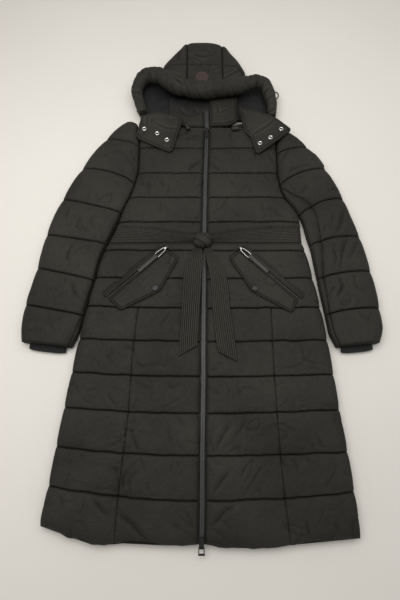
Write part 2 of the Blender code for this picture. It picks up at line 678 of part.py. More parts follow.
def along(outer, inner, arch, share):
    """Point of a section a share of the way from the outer edge to the inner one."""
    x, y = mix(outer[0], inner[0], share), mix(outer[1], inner[1], share)
    return x, y + 4 * arch * share * (1 - share)


def build_sleeve(side, name, table):
    """Two-piece sleeve: the under piece on the floor wraps up round the inner edge to the top one."""
    tops, unders = [], []
    sections = sleeve_sections(table, side)
    for section in sections:
        seam_top = SLEEVE_HEM_TOP if section is sections[-1] else SLEEVE_SEAM_TOP
        top, under = sleeve_rings(section, seam_top)
        tops.append(top)
        unders.append(under)
    loft(name + "_sleeve_top", tops, "shell")
    loft(name + "_sleeve_under", unders, "shell")


def sleeve_rings(section, seam_top):
    """Rings of the top piece and of the under piece at one section of a sleeve."""
    outer, inner, arch, strip, phase = section
    width = math.dist(outer, inner)
    strip_width = max(strip, STRIP_LEAST)
    strip_rise = climb((0.0, STRIP_FULL), strip)
    join = width - strip_width - GAP
    inner_rim = ARMHOLE_RIM if strip <= STRIP_RIM_FROM else UNDERARM_RIM

    def at(distance, height):
        return *along(outer, inner, arch, distance / width), height

    places = stations(join, SLEEVE_RIM.reach, inner_rim.reach, 2)
    heights = quilted_tops(join, places, phase, SLEEVE_RIM, inner_rim, seam_top, SLEEVE_PUFF_TOP)
    top = [at(place, height) for place, height in zip(places, heights)]
    top += [at(join * share, SLEEVE_TOP_BASE) for share in (1.0, 0.65, 0.35, 0.0)]

    edge_top = max(mix(SLEEVE_UNDER_TOP, heights[-1], strip_rise), STRIP_TOP_LEAST)
    filled = mix(SLEEVE_SEAM_TOP, SLEEVE_PUFF_TOP - 6, puff(phase))
    crest = max(mix(edge_top, filled, strip_rise / 2), STRIP_TOP_LEAST)
    side_top = mix(SLEEVE_UNDER_TOP + 0.5, edge_top - 4, strip_rise)
    start = width - strip_width
    under = [at(knot.x, knot.y) for knot in SLEEVE_EDGE]
    under += [at(width * 0.35, 0), at(width * 0.65, 0), at(width - 11, 0), at(width - 2, 4), at(width, 12)]
    under += [at(width - strip_width * 0.1, side_top), at(start + strip_width * 0.5, crest)]
    under.append(at(start, edge_top))
    under += [at(place, SLEEVE_UNDER_TOP) for place in (start, width * 0.65, width * 0.35)]
    return top, under


# Flat pieces, rings and turned pieces


def inset(outline, distance):
    """A polygon moved inward by a distance, corners along their mitres."""
    area = sum(a[0] * b[1] - b[0] * a[1] for a, b in zip(outline, outline[1:] + outline[:1]))
    turn = 1 if area > 0 else -1
    moved = []
    for index, point in enumerate(outline):
        before = (Vector(point) - Vector(outline[index - 1])).normalized()
        after = (Vector(outline[(index + 1) % len(outline)]) - Vector(point)).normalized()
        normals = [Vector((-way.y, way.x)) * turn for way in (before, after)]
        mitre = (normals[0] + normals[1]).normalized()
        reach = distance / max(mitre.dot(normals[0]), 0.4)
        moved.append((point[0] + mitre.x * reach, point[1] + mitre.y * reach))
    return moved


def stack(name, outline, base, levels, finish, shape=None):
    """Closed piece on an outline: one ring for each (inset, height above base) level."""
    rings = []
    for distance, height in levels:
        ring = [(x, y, base + height) for x, y in inset(list(outline), distance)]
        rings.append([shape(*point) for point in ring] if shape else ring)
    loft(name, rings, finish)


def turned(name, start, heading, profile, sides, finish, closed=False):
    """Piece turned about an axis, through (distance along it, radius) points."""
    axis = Vector(heading).normalized()
    across = axis.orthogonal().normalized()
    other = axis.cross(across)
    rings = []
    for distance, radius in profile:
        angles = [2 * math.pi * step / sides for step in range(sides)]
        rings.append([Vector(start) + axis * distance
                      + (across * math.cos(a) + other * math.sin(a)) * radius for a in angles])
    loft(name, rings, finish, closed)


# Hood


def hood_section(x, top):
    """Ring of the hood's upper layer at one place across it, from its far fold to the brim."""
    tip = outline_at(HOOD_TIP, x)
    front = outline_at(HOOD_FRONT, x)
    base = HOOD_BACK_TOP + GAP
    radius = min(HOOD_FOLD_RADIUS, 0.6 * (tip - front))
    turn = tip - radius
    inner_top = top - HOOD_WALL
    inner_radius = max(radius - HOOD_WALL, 2.0)
    ring = []
    for angle in (math.radians(degrees) for degrees in HOOD_FOLD_DEGREES):
        ring.append((x, turn + radius * math.cos(angle), mix(base, top, math.sin(angle))))
    cross = min(outline_at(HOOD_CROSS_SEAM, x), mix(turn, front, HOOD_CROSS_LEAST))
    ring += [(x, mix(turn, cross, share), top) for share in HOOD_UPPER_SHARES]
    ring.append((x, cross, top - HOOD_SEAM_DIP))
    ring += [(x, mix(cross, front, share), top) for share in HOOD_LOWER_SHARES]
    ring.append((x, front, inner_top))
    ring.append((x, turn, inner_top))
    for angle in (math.radians(50), 0.0):
        ring.append((x, turn + inner_radius * math.cos(angle), mix(base, inner_top, math.sin(angle))))
    return ring


def build_hood():
    """Hood lying on its back: its floor layer, the three pieces over it, and the padded brim."""
    stack("hood_back", HOOD_BACK_OUTLINE, 0.0, HOOD_BACK_LEVELS, "shell")
    crown = tuple(zip(HOOD_SEAMS, HOOD_TOPS))
    for name, start, end in zip(("hood_left", "hood_centre", "hood_right"), HOOD_SEAMS, HOOD_SEAMS[1:]):
        rings = []
        for share in HOOD_PIECE_SHARES:
            x = mix(start + GAP / 2, end - GAP / 2, share)
            dip = HOOD_SEAM_DIP if share in (0.0, 1.0) else 0.0
            rings.append(hood_section(x, smooth(crown, x) - dip))
        loft(name, rings, "shell")
    build_brim()
    patch = circle(HOOD_PATCH_CENTRE, HOOD_PATCH_RADIUS, 24)
    stack("hood_patch", patch, max(HOOD_TOPS) + GAP, HOOD_PATCH_LEVELS, "patch")


def circle(centre, radius, sides):
    """Corners of a circle, counted round."""
    angles = [2 * math.pi * step / sides for step in range(sides)]
    return [(centre[0] + radius * math.cos(a), centre[1] + radius * math.sin(a)) for a in angles]


def build_brim():
    """The hood's padded edge: a fat tube from flap to flap, over the forehead."""
    places = [index / 2 for index in range(2 * len(BRIM) - 1)]
    fields = [[smooth([(i, point[field]) for i, point in enumerate(BRIM)], place) for place in places]
              for field in range(5)]
    path = list(zip(*fields))
    rings = []
    for index, (x, y, z, half_width, half_height) in enumerate(path):
        before, after = path[max(index - 1, 0)], path[min(index + 1, len(path) - 1)]
        ahead = Vector((after[0] - before[0], after[1] - before[1])).normalized()
        across = Vector((ahead.y, -ahead.x))
        ring = []
        for step in range(12):
            angle = 2 * math.pi * step / 12
            side = across * half_width * math.cos(angle)
            ring.append((x + side.x, y + side.y, z + half_height * math.sin(angle)))
        rings.append(ring)
    loft("hood_brim", rings, "shell")


def flap_tilt(x, y, z):
    """The right flap climbs over the sleeve's head."""
    return x, y, z + FLAP_TILT * (x - FLAP_TILT_FROM)


def build_hood_flaps():
    """The hood's flaps with three snap rings each, and a cord lock beside each flap."""
    stack("left_hood_flap", LEFT_FLAP, FLAP_BASE, FLAP_LEVELS, "shell")
    stack("right_hood_flap", RIGHT_FLAP, FLAP_BASE, FLAP_LEVELS, "shell", flap_tilt)
    for side, places in (("left", LEFT_SNAPS), ("right", RIGHT_SNAPS)):
        for number, (x, y) in enumerate(places, 1):
            place = (x, y, FLAP_BASE + FLAP_LEVELS[-1][1] + GAP)
            if side == "right":
                place = (x, y, flap_tilt(x + SNAP_RING_RADIUS, y, place[2])[2])
            turned(f"{side}_hood_snap_{number}", place, UP, SNAP_RING, 14, "silver", closed=True)
    turned("left_cord_lock", LEFT_LOCK_START, LEFT_LOCK_HEADING, CORD_LOCK, 10, "black_metal")
    turned("right_cord_lock", RIGHT_LOCK_START, RIGHT_LOCK_HEADING, CORD_LOCK, 10, "black_metal")


# Collar


def collar_slope(x, y, z):
    """The right collar thins toward its upper edge, which runs in under the brim."""
    return x, y, COLLAR_BASE + (z - COLLAR_BASE) * mix(1.0, COLLAR_THINNEST, climb(COLLAR_THINS, y))


def build_collar():
    """The stand collar: a back piece and two fronts."""
    stack("back_collar", BACK_COLLAR, HOOD_BACK_TOP + GAP, BACK_COLLAR_LEVELS, "shell")
    stack("left_collar", LEFT_COLLAR, COLLAR_BASE, LEFT_COLLAR_LEVELS, "shell")
    stack("right_collar", RIGHT_COLLAR, COLLAR_BASE, RIGHT_COLLAR_LEVELS, "shell", collar_slope)


# Main zip


def build_zip():
    """The main zip: two tapes up the front, and a slider with its pull near each end."""
    heights = [mix(*TAPE_ENDS, step / TAPE_STEPS) for step in range(TAPE_STEPS + 1)]
    for side, name in ((-1, "left"), (1, "right")):
        rings = []
        for y in heights:
            middle = smooth(ZIP_LINE, y)
            near, far = middle + side * GAP / 2, middle + side * (TAPE_WIDTH - GAP)
            base = TAPE_BASE + TAPE_RISE * climb(TAPE_CLIMBS, y)
            top = base + TAPE_THICKNESS
            rings.append([(near, y, base), (far, y, base), (far, y, top - 0.6),
                          (mix(near, far, 0.3), y, top - 0.2), (near, y, top)])
        loft(f"zip_{name}_tape", rings, "tape")
    build_puller("zip_top", TOP_HINGE, DOWN, TOP_PULLER)
    build_puller("zip_bottom", BOTTOM_HINGE, DOWN, BOTTOM_PULLER)


def frame_of(hinge, heading, droop=0.0):
    """Placer of (across, ahead, up) lengths about a hinge, ahead along a heading that may droop."""
    ahead = Vector((*heading, 0.0)).normalized()
    across = Vector((ahead.y, -ahead.x, 0.0))
    lean = math.radians(droop)

    def place(side, forward, up):
        turned_forward = forward * math.cos(lean) + up * math.sin(lean)
        turned_up = up * math.cos(lean) - forward * math.sin(lean)
        return Vector(hinge) + across * side + ahead * turned_forward + Vector((0, 0, turned_up))

    return place


def build_puller(name, hinge, heading, puller):
    """A slider, and its pull that swings on it."""
    build_slider(name + "_slider", hinge, heading, puller)
    build_pull(name + "_pull", hinge, heading, puller)


def build_slider(name, hinge, heading, puller):
    """Zip slider with two lugs that hold the pull's barrel between them."""
    place = frame_of(hinge, heading)
    floor, tail, half, lug = -puller.rise, SLIDER_NOSE - puller.length, puller.width / 2, puller.lug
    step = 0.02
    rings = []
    for side, lugged in ((-half, True), (lug - half, True), (lug - half + step, False),
                         (half - lug - step, False), (half - lug, True), (half, True)):
        top = SLIDER_CREST if lugged else SLIDER_DECK
        profile = ((tail, floor), (SLIDER_NOSE, floor), (SLIDER_NOSE, SLIDER_DECK), (1.8, SLIDER_DECK),
                   (1.4, top), (-1.4, top), (-2.4, SLIDER_DECK), (tail, SLIDER_DECK))
        rings.append([place(side, forward, up) for forward, up in profile])
    loft(name, rings, "black_metal")


def build_pull(name, hinge, heading, puller):
    """Zip pull: a barrel on the hinge, then the tab out to its tip."""
    place = frame_of(hinge, heading, puller.droop)
    sections = tuple((at, puller.barrel, size) for at, size in BARREL) + puller.tab
    if puller.window:
        build_windowed(name, hinge, place, sections, puller)
        return
    rings = []
    for forward, width, thickness in sections:
        half, rise = width / 2, thickness / 2
        rings.append([place(half * out, forward, rise * up) for out, up in TAB_CORNERS])
    loft(name, rings, puller.finish, origin=hinge)


def build_windowed(name, hinge, place, sections, puller):
    """Zip pull with a window through its tab, four points across its upper and its lower face."""
    shape = bmesh.new()
    start, window_width = puller.window
    grid = []
    for forward, width, thickness in sections:
        half, inner = width / 2, min(window_width / 2, width * WINDOW_INSET)
        grid.append([[shape.verts.new((Vector(place(out, forward, rise)) - Vector(hinge)) * MM)
                      for out in (-half, -inner, inner, half)] for rise in (thickness / 2, -thickness / 2)])
    open_row = [section[0] for section in sections].index(start)
    for row, (first, second) in enumerate(zip(grid, grid[1:])):
        walls = (0, 1, 2, 3) if row == open_row else (0, 3)
        for column in walls:
            shape.faces.new((first[0][column], second[0][column], second[1][column], first[1][column]))
        for column in (0, 2) if row == open_row else (0, 1, 2):
            for level in (0, 1):
                shape.faces.new((first[level][column], second[level][column],
                                 second[level][column + 1], first[level][column + 1]))
    for section in (grid[0], grid[-1]):
        for column in (0, 1, 2):
            shape.faces.new((section[0][column], section[0][column + 1],
                             section[1][column + 1], section[1][column]))
    for section in grid[open_row:open_row + 2]:
        shape.faces.new((section[0][1], section[0][2], section[1][2], section[1][1]))
    finished(name, shape, puller.finish, Vector(hinge))


# Pockets


def strip(start, end, half_width):
    """Outline of a straight strip."""
    across = (Vector(end) - Vector(start)).normalized().orthogonal() * half_width
    first, last = Vector(start), Vector(end)
    return [tuple(first + across), tuple(last + across), tuple(last - across), tuple(first - across)]


def build_pockets():
    """Two slanted pockets: flap with its snap, zip with its slider and pull, and the welt above it."""
    parts = (
        ("left_pocket", LEFT_POCKET_FLAP, LEFT_WELT, LEFT_POCKET_ZIP, LEFT_POCKET_SNAP),
        ("right_pocket", RIGHT_POCKET_FLAP, RIGHT_WELT, RIGHT_POCKET_ZIP, RIGHT_POCKET_SNAP),
    )
    flap_top = POCKET_BASE + POCKET_LEVELS[-1][1]
    for name, flap, welt, line, snap in parts:
        stack(name + "_flap", flap, POCKET_BASE, POCKET_LEVELS, "shell")
        stack(name + "_welt", welt, POCKET_BASE, POCKET_LEVELS, "shell")
        stack(name + "_zip", strip(*line, POCKET_ZIP_HALF), POCKET_BASE, POCKET_ZIP_LEVELS, "tape")
        turned(name + "_snap", (*snap, flap_top + GAP), UP, POCKET_SNAP, 16, "black_metal")
        heading = (Vector(line[1]) - Vector(line[0])).normalized()
        hinge = (*(Vector(line[0]) + heading * POCKET_HINGE_INSET), POCKET_HINGE)
        build_puller(name, hinge, heading, POCKET_PULLER)


# Belt


def ribbed(first, second, ribs, rib_height, lift):
    """Points across a stitched strap between its two edges, ridged between its rows of stitching."""
    points = []
    for step in range(2 * ribs + 1):
        share = step / (2 * ribs)
        ridge = rib_height if step % 2 else 0.0
        points.append(first.lerp(second, share) + lift * ridge)
    return points


def band_spine(side, y, inner_end):
    """Inner face of a belt band as (x, z): under the back, round the side edge, in to the knot."""
    edge = side_edge(side, y) - side * BELT_PINCH
    spine = [(edge + side * out, z) for out, z in BELT_WRAP]
    start = edge - side * BELT_TURN
    return spine + [(mix(start, inner_end, step / 6), BELT_INNER) for step in range(7)]


def build_band(side, name, table):
    """Front half of the belt: from under the back, round the side edge, across to the knot."""
    upper, lower = [band_spine(side, table[0][column], table[-1][0]) for column in (1, 2)]
    edges = [[(row[0], row[column]) for row in table] for column in (1, 2)]
    middle = [(Vector(first) + Vector(second)) / 2 for first, second in zip(upper, lower)]
    rings = []
    for index, pair in enumerate(zip(upper, lower)):
        corners = [Vector((x, smooth(edge, x), z)) for (x, z), edge in zip(pair, edges)]
        way = (middle[min(index + 1, len(middle) - 1)] - middle[max(index - 1, 0)]).normalized()
        out = Vector((-way.y, 0, way.x)) * (-side)
        outer = ribbed(*corners, BELT_RIBS, BELT_RIB_HEIGHT, out)
        rings.append([corners[0]] + [point + out * (BELT_THICKNESS - BELT_RIB_HEIGHT) for point in outer]
                     + [corners[1]])
    loft(name, rings, "shell")
    return rings


def build_tail(name, table):
    """One hanging end of the belt, its end cut on a slant."""
    rings = []
    for section in table:
        left, right = Vector((*section.left, section.base)), Vector((*section.right, section.base))
        top = ribbed(left, right, BELT_RIBS, BELT_RIB_HEIGHT, Vector(UP))
        rings.append([left] + [point + Vector(UP) * BELT_THICKNESS for point in top] + [right])
    loft(name, rings, "shell")


def build_belt():
    """The tied belt: two bands, the stretch under the back, the knot and two tails."""
    left = build_band(-1, "belt_left_band", LEFT_BAND)
    right = build_band(1, "belt_right_band", RIGHT_BAND)
    upper = [ring[0] for ring in (left[0], right[0])]
    lower = [ring[-1] for ring in (left[0], right[0])]
    outline = [(upper[0].x + GAP, upper[0].y), (upper[1].x - GAP, upper[1].y),
               (lower[1].x - GAP, lower[1].y), (lower[0].x + GAP, lower[0].y)]
    stack("belt_back", outline, 0.0, ((0, 0.0), (0, BELT_THICKNESS)), "shell")
    build_knot()
    build_tail("belt_left_tail", LEFT_TAIL)
    build_tail("belt_right_tail", RIGHT_TAIL)


def build_knot():
    """The belt's knot, a rounded lump on the crossed bands."""
    rings = []
    for share, scale in KNOT_LEVELS:
        ring = []
        for turn in circle((0.0, 0.0), 1.0, 16):
            x, y = (centre + math.copysign(abs(way) ** KNOT_SQUARENESS, way) * scale * size / 2
                    for centre, way, size in zip(KNOT_PLACE, turn, KNOT_SIZE))
            ring.append((x, y, KNOT_BASE + KNOT_SIZE[2] * share))
        rings.append(ring)
    loft("belt_knot", rings, "shell")


def build_belt_loop():
    """Thread loop that holds the belt near the right side seam."""
    rings = []
    for y, base in BELT_LOOP:
        near, far, top = BELT_LOOP_PLACE, BELT_LOOP_PLACE + BELT_LOOP_WIDTH, base + BELT_LOOP_THICKNESS
        rings.append([(near, y, base), (far, y, base), (far, y, top), (near, y, top)])
    loft("belt_loop", rings, "shell")


# Trim on the sleeves


def cuff_loop(section, depth, share, half):
    """One loop of a cuff, at a depth below the hem."""
    outer, inner, arch = section[:3]
    loop = []
    for across, up in circle((0.0, 0.0), 1.0, CUFF_SIDES):
        x, y = along(outer, inner, arch, 0.5 - share * across)
        rise = math.copysign(abs(up) ** 0.5, up) * half
        corner = CUFF_CORNER_RISE * across ** 4 * depth / CUFF_DEPTHS[-1]
        loop.append((x, y - depth + corner, CUFF_HEIGHT + rise))
    return loop


def build_cuff(side, name, table):
    """Knitted storm cuff: a flattened tube that comes out of the sleeve's hem."""
    hem = sleeve_sections(table, side)[-1]
    loops = [cuff_loop(hem, depth, CUFF_SHARE, CUFF_HALF) for depth in CUFF_DEPTHS]
    loops += [cuff_loop(hem, depth, CUFF_INNER_SHARE, CUFF_INNER_HALF) for depth in reversed(CUFF_DEPTHS)]
    loft(name, loops, "rib", closed=True)


def build_sleeve_patch():
    """A bare patch that stands on the right sleeve's outer edge."""
    points = [Vector(sleeve_section(RIGHT_SLEEVE, 1, place, 0.5)[0]) for place in SLEEVE_PATCH_PLACES]
    low, high = SLEEVE_PATCH_HEIGHTS
    rings = []
    for index, point in enumerate(points):
        way = (points[min(index + 1, len(points) - 1)] - points[max(index - 1, 0)]).normalized()
        out = Vector((-way.y, way.x))
        near, far = (point + out * distance for distance in SLEEVE_PATCH_OUT)
        rings.append([(*near, low), (*far, low), (*far, high), (*near, high)])
    loft("sleeve_patch", rings, "patch")


def build_cord_loop():
    """Elastic loop of the hood's cord, at the right side of the brim."""
    rings = []
    for degrees in CORD_LOOP_DEGREES:
        turn = math.radians(degrees)
        out = Vector((math.cos(turn), math.sin(turn), 0))
        reach = Vector((out.x * CORD_LOOP_REACH[0], out.y * CORD_LOOP_REACH[1], 0))
        middle = Vector(CORD_LOOP_CENTRE) + reach
        rings.append([middle + out * x + Vector(UP) * z for x, z in circle((0.0, 0.0), CORD_LOOP_RADIUS, 8)])
    loft("cord_loop", rings, "shell")


def clear_scene():
    """Remove whatever the new file holds."""
    for item in list(bpy.data.objects):
        bpy.data.objects.remove(item, do_unlink=True)


def build_coat():
    """Every piece of the coat."""
    clear_scene()
    build_back()
    for side, name, sleeve in ((-1, "left", LEFT_SLEEVE), (1, "right", RIGHT_SLEEVE)):
        build_front(side, name)
        build_sleeve(side, name, sleeve)
        build_cuff(side, name + "_cuff", sleeve)
    build_hood()
    build_hood_flaps()
    build_collar()
    build_zip()
    build_pockets()
    build_belt()
    build_belt_loop()
    build_sleeve_patch()
    build_cord_loop()


build_coat()
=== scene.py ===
"""Looks of a long puffer coat, laid flat on its back: cloth, knit, zips, metal and sewing.

Lengths are in millimetres, in the coat's own axes: +X is the viewer's right, +Y runs toward the head
and +Z up from the floor. "Left" and "right" are the viewer's.
"""

import logging
import math
from dataclasses import dataclass, field
from enum import Enum
from typing import Iterable, NamedTuple, Optional, Sequence, Union

import bpy
import numpy as np
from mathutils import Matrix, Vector


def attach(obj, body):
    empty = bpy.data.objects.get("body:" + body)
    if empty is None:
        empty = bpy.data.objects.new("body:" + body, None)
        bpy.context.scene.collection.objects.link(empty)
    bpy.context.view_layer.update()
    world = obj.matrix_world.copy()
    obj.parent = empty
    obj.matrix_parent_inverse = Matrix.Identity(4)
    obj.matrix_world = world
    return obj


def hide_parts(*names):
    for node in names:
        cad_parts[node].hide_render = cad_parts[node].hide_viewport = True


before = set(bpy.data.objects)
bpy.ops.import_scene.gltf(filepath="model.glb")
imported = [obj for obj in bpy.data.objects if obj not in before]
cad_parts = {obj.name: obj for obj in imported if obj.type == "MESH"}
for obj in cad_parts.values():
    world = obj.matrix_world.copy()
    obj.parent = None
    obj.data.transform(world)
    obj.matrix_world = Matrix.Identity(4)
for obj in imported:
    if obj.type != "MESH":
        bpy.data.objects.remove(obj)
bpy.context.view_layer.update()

LOG = logging.getLogger("coat")
MM = 0.001
GAP = 0.3
Floats = np.ndarray
Place = tuple[float, float]
Spot = tuple[float, float, float]
Value = Union[float, np.ndarray]
Feed = Union[bpy.types.NodeSocket, float, tuple]
ACROSS: Spot = (1.0, 0.0, 0.0)
UP: Spot = (0.0, 0.0, 1.0)


# Numbers, curves and noise


def mix(low: Value, high: Value, share: Value) -> Value:
    """Value a share of the way from low to high."""
    return low + (high - low) * share


def climb(first: float, second: float, at: Floats) -> Floats:
    """Share of the way from one place to another, 0 before the first and 1 past the second."""
    return np.clip((at - first) / (second - first), 0.0, 1.0)


def ease(share: Floats) -> Floats:
    """Share with a soft start and a soft end."""
    return share * share * (3.0 - 2.0 * share)


def soft_min(first: Floats, second: Floats, blend: float) -> Floats:
    """Lower of two values, rounded where they cross."""
    share = np.clip(0.5 + 0.5 * (second - first) / blend, 0.0, 1.0)
    return mix(second, first, share) - blend * share * (1.0 - share)


def swell(distance: Floats, reach: float) -> Floats:
    """Quarter-round rise of the filling from an edge, 0 at the edge and 1 from its reach on."""
    return np.sqrt(1.0 - (1.0 - np.clip(distance / reach, 0.0, 1.0)) ** 2)


class Curve:
    """Curve through knots of (place, value) that never overshoots them."""

    def __init__(self, knots: Iterable[Place]) -> None:
        """Sort the knots and work out the slope at each.

        Args:
            knots: (place, value) pairs in any order.
        """
        ordered = sorted((float(place), float(value)) for place, value in knots)
        self.places = np.array([place for place, _ in ordered])
        self.values = np.array([value for _, value in ordered])
        slopes = np.diff(self.values) / np.diff(self.places)
        before, after = slopes[:-1], slopes[1:]
        both = np.where(before + after == 0.0, 1.0, before + after)
        inner = np.where(before * after > 0.0, 2.0 * before * after / both, 0.0)
        self.tangents = np.concatenate((slopes[:1], inner, slopes[-1:]))

    def __call__(self, at: Value) -> Floats:
        """Value of the curve at one place or many."""
        at = np.clip(np.asarray(at, float), self.places[0], self.places[-1])
        index = np.clip(np.searchsorted(self.places, at) - 1, 0, len(self.places) - 2)
        span = self.places[index + 1] - self.places[index]
        t = (at - self.places[index]) / span
        low, high = self.values[index], self.values[index + 1]
        return (low * (1 + 2 * t) * (1 - t) ** 2 + self.tangents[index] * span * t * (1 - t) ** 2
                + high * t * t * (3 - 2 * t) + self.tangents[index + 1] * span * t * t * (t - 1))


class Noise:
    """Seeded gradient noise over a plane, from about -1 to 1."""

    CELLS = 256

    def __init__(self, seed: int) -> None:
        """Draw the gradients.

        Args:
            seed: Number that fixes the pattern.
        """
        angles = np.random.default_rng(seed).uniform(0.0, 2.0 * math.pi, (self.CELLS, self.CELLS))
        self.slope_x, self.slope_y = np.cos(angles), np.sin(angles)

    def __call__(self, x: Value, y: Value) -> Floats:
        """Noise at each place, with features about one unit wide."""
        x, y = np.broadcast_arrays(np.asarray(x, float), np.asarray(y, float))
        left, low = np.floor(x).astype(int), np.floor(y).astype(int)
        across, up = x - left, y - low

        def corner(i: int, j: int) -> Floats:
            """Slope of one corner of each cell, times the way from it."""
            column, row = (left + i) % self.CELLS, (low + j) % self.CELLS
            return self.slope_x[column, row] * (across - i) + self.slope_y[column, row] * (up - j)

        share_x = across ** 3 * (across * (across * 6 - 15) + 10)
        share_y = up ** 3 * (up * (up * 6 - 15) + 10)
        lower = mix(corner(0, 0), corner(1, 0), share_x)
        upper = mix(corner(0, 1), corner(1, 1), share_x)
        return 1.5 * mix(lower, upper, share_y)


def line_distance(x: Floats, y: Floats, points: Sequence[Place]) -> tuple[Floats, Floats]:
    """Nearest place on a broken line.

    Args:
        x: Places across.
        y: Places up the coat.
        points: Corners of the line.

    Returns:
        Share of the line's length at the nearest point, and the distance to it.
    """
    lengths = [math.dist(a, b) for a, b in zip(points, points[1:])]
    nearest = np.full(np.shape(x), np.inf)
    share = np.zeros(np.shape(x))
    passed = 0.0
    for (start_x, start_y), (end_x, end_y), length in zip(points, points[1:], lengths):
        way_x, way_y = end_x - start_x, end_y - start_y
        t = np.clip(((x - start_x) * way_x + (y - start_y) * way_y) / length ** 2, 0.0, 1.0)
        away = np.hypot(x - start_x - t * way_x, y - start_y - t * way_y)
        nearer = away < nearest
        nearest = np.where(nearer, away, nearest)
        share = np.where(nearer, (passed + t * length) / sum(lengths), share)
        passed += length
    return share, nearest


def outline_distance(x: Floats, y: Floats, outline: Sequence[Place]) -> Floats:
    """Distance outside a closed outline, negative inside it."""
    closed = list(outline) + list(outline[:1])
    _, away = line_distance(x, y, closed)
    inside = np.zeros(np.shape(x), bool)
    for (start_x, start_y), (end_x, end_y) in zip(closed, closed[1:]):
        if start_y == end_y:
            continue
        crosses = (start_y > y) != (end_y > y)
        inside ^= crosses & (x < start_x + (y - start_y) * (end_x - start_x) / (end_y - start_y))
    return np.where(inside, -away, away)


# Wrinkles of quilted cloth


@dataclass(frozen=True)
class Fold:
    """A given crease: a trough with a soft ridge along each side."""

    points: tuple[Place, ...]
    depth: float
    width: float

    def relief(self, x: Floats, y: Floats) -> Floats:
        """Rise that the crease adds at each place, negative in its trough."""
        share, away = line_distance(x, y, self.points)
        fade = np.sin(math.pi * np.clip(share, 0.04, 0.96)) ** 0.6
        trough = np.exp(-(away / self.width) ** 2)
        ridge = np.exp(-((away - 2.1 * self.width) / (1.1 * self.width)) ** 2)
        return -self.depth * fade * (trough - 0.45 * ridge)

    def shade(self, x: Floats, y: Floats) -> Floats:
        """Painted shade at the crease's bottom at each place, and painted highlight, below zero, on the
        crests beside it.
        """
        share, away = line_distance(x, y, self.points)
        fade = np.sin(math.pi * np.clip(share, 0.02, 0.98)) ** 0.6
        trough = np.exp(-(away / (0.42 * self.width)) ** 2)
        crest = np.exp(-((away - 1.5 * self.width) / (0.8 * self.width)) ** 2)
        return 0.38 * min(self.depth, 2.4) * fade * (trough - 0.45 * crest)


class PuckerSize(NamedTuple):
    """One size of puckers: how far apart, how far they reach from the seam, and how deep."""

    spacing: float
    reach: float
    depth: float


@dataclass
class Wrinkles:
    """Uneven relief of filled cloth: puckers at its seams, soft creases, lumps and placed folds."""

    seed: int
    folds: tuple[Fold, ...] = ()
    puckers: tuple[PuckerSize, ...] = (
        PuckerSize(5.0, 4.0, 0.7), PuckerSize(11.0, 12.0, 1.1), PuckerSize(24.0, 34.0, 1.2))
    crease_depth: float = 1.5
    lump_depth: float = 1.2
    tick_spacing: float = 7.0
    tick_reach: float = 5.0

    def __post_init__(self) -> None:
        """Draw the noise."""
        self.noise = Noise(self.seed)

    def at_seam(self, distance: Floats, run: Floats, seam: Floats) -> Floats:
        """Puckers beside a seam.

        Args:
            distance: Distance from the seam.
            run: Length along the seam.
            seam: Number of the seam and side, so that no two have the same puckers.

        Returns:
            Rise at each place.
        """
        total = 0.0
        for size in self.puckers:
            wander = 0.35 * distance / size.reach
            wave = self.noise(run / size.spacing, seam * 7.31 + wander)
            total = total + size.depth * wave * np.exp(-distance / size.reach)
        return total * (1.0 - np.exp(-distance / 1.6))

    def ticks(self, distance: Floats, run: Floats, seam: Floats) -> Floats:
        """Painted shade in the short creases that stand on a seam, at the same places as at_seam takes."""
        wave = self.noise(run / self.tick_spacing, seam * 7.31 + 0.2 * distance / self.tick_reach)
        return 0.5 * climb(0.25, 0.7, wave) * np.exp(-(distance / self.tick_reach) ** 2)

    def waves(self, x: Floats, y: Floats) -> tuple[tuple[Floats, Floats], ...]:
        """Two families of creases: how far each place is from one, and how strong it is there."""
        bend_x = 26.0 * self.noise(x / 95.0 + 11.3, y / 95.0)
        bend_y = 26.0 * self.noise(x / 95.0, y / 95.0 + 31.7)
        made = []
        for turn, offset in ((0.64, 0.0), (-1.1, 21.0)):
            slant_x = (x + bend_x) * math.cos(turn) - (y + bend_y) * math.sin(turn)
            slant_y = (x + bend_x) * math.sin(turn) + (y + bend_y) * math.cos(turn)
            wave = self.noise(slant_x / 34.0 + offset, slant_y / 66.0 + 5.1)
            strength = ease(climb(0.0, 0.5, self.noise(x / 90.0 + 3.3 + offset, y / 70.0)))
            made.append((wave, strength))
        return tuple(made)

    def across(self, x: Floats, y: Floats) -> Floats:
        """Creases, lumps and placed folds at each place."""
        total = self.lump_depth * (self.noise(x / 55.0 + 7.7, y / 48.0)
                                   + 0.5 * self.noise(x / 24.0, y / 22.0 + 9.9))
        for wave, strength in self.waves(x, y):
            trough, ridge = np.exp(-(wave / 0.10) ** 2), np.exp(-((wave - 0.24) / 0.12) ** 2)
            total = total - self.crease_depth * strength * (trough - 0.6 * ridge)
        for fold in self.folds:
            total = total + fold.relief(x, y)
        return total

    def shade(self, x: Floats, y: Floats) -> Floats:
        """Painted shade at the creases' bottoms at each place, and painted highlight, below zero, on the
        crests beside them.
        """
        total = 0.0
        for wave, strength in self.waves(x, y):
            trough, crest = np.exp(-(wave / 0.055) ** 2), np.exp(-((wave - 0.22) / 0.1) ** 2)
            total = total + strength * (0.48 * trough - 0.3 * crest)
        for fold in self.folds:
            total = total + fold.shade(x, y)
        return np.clip(total, -0.9, 0.75)


# Meshes


class Look(Enum):
    """Finishes of the coat."""

    SHELL = "shell_cloth"
    KNIT = "rib_knit"
    # The linings' finishes are darkened to paint the shade inside the hood and the collar.
    LINING = "dark_lining"
    COLLAR_LINING = "collar_lining"
    TAPE = "zip_tape"
    BLACK_METAL = "black_metal"
    SILVER = "silver_metal"
    BLACK_PLASTIC = "black_plastic"
    PATCH = "bare_patch"
    GRIP = "satin_grip"
    CORD = "elastic_cord"
    FLOOR = "studio_floor"


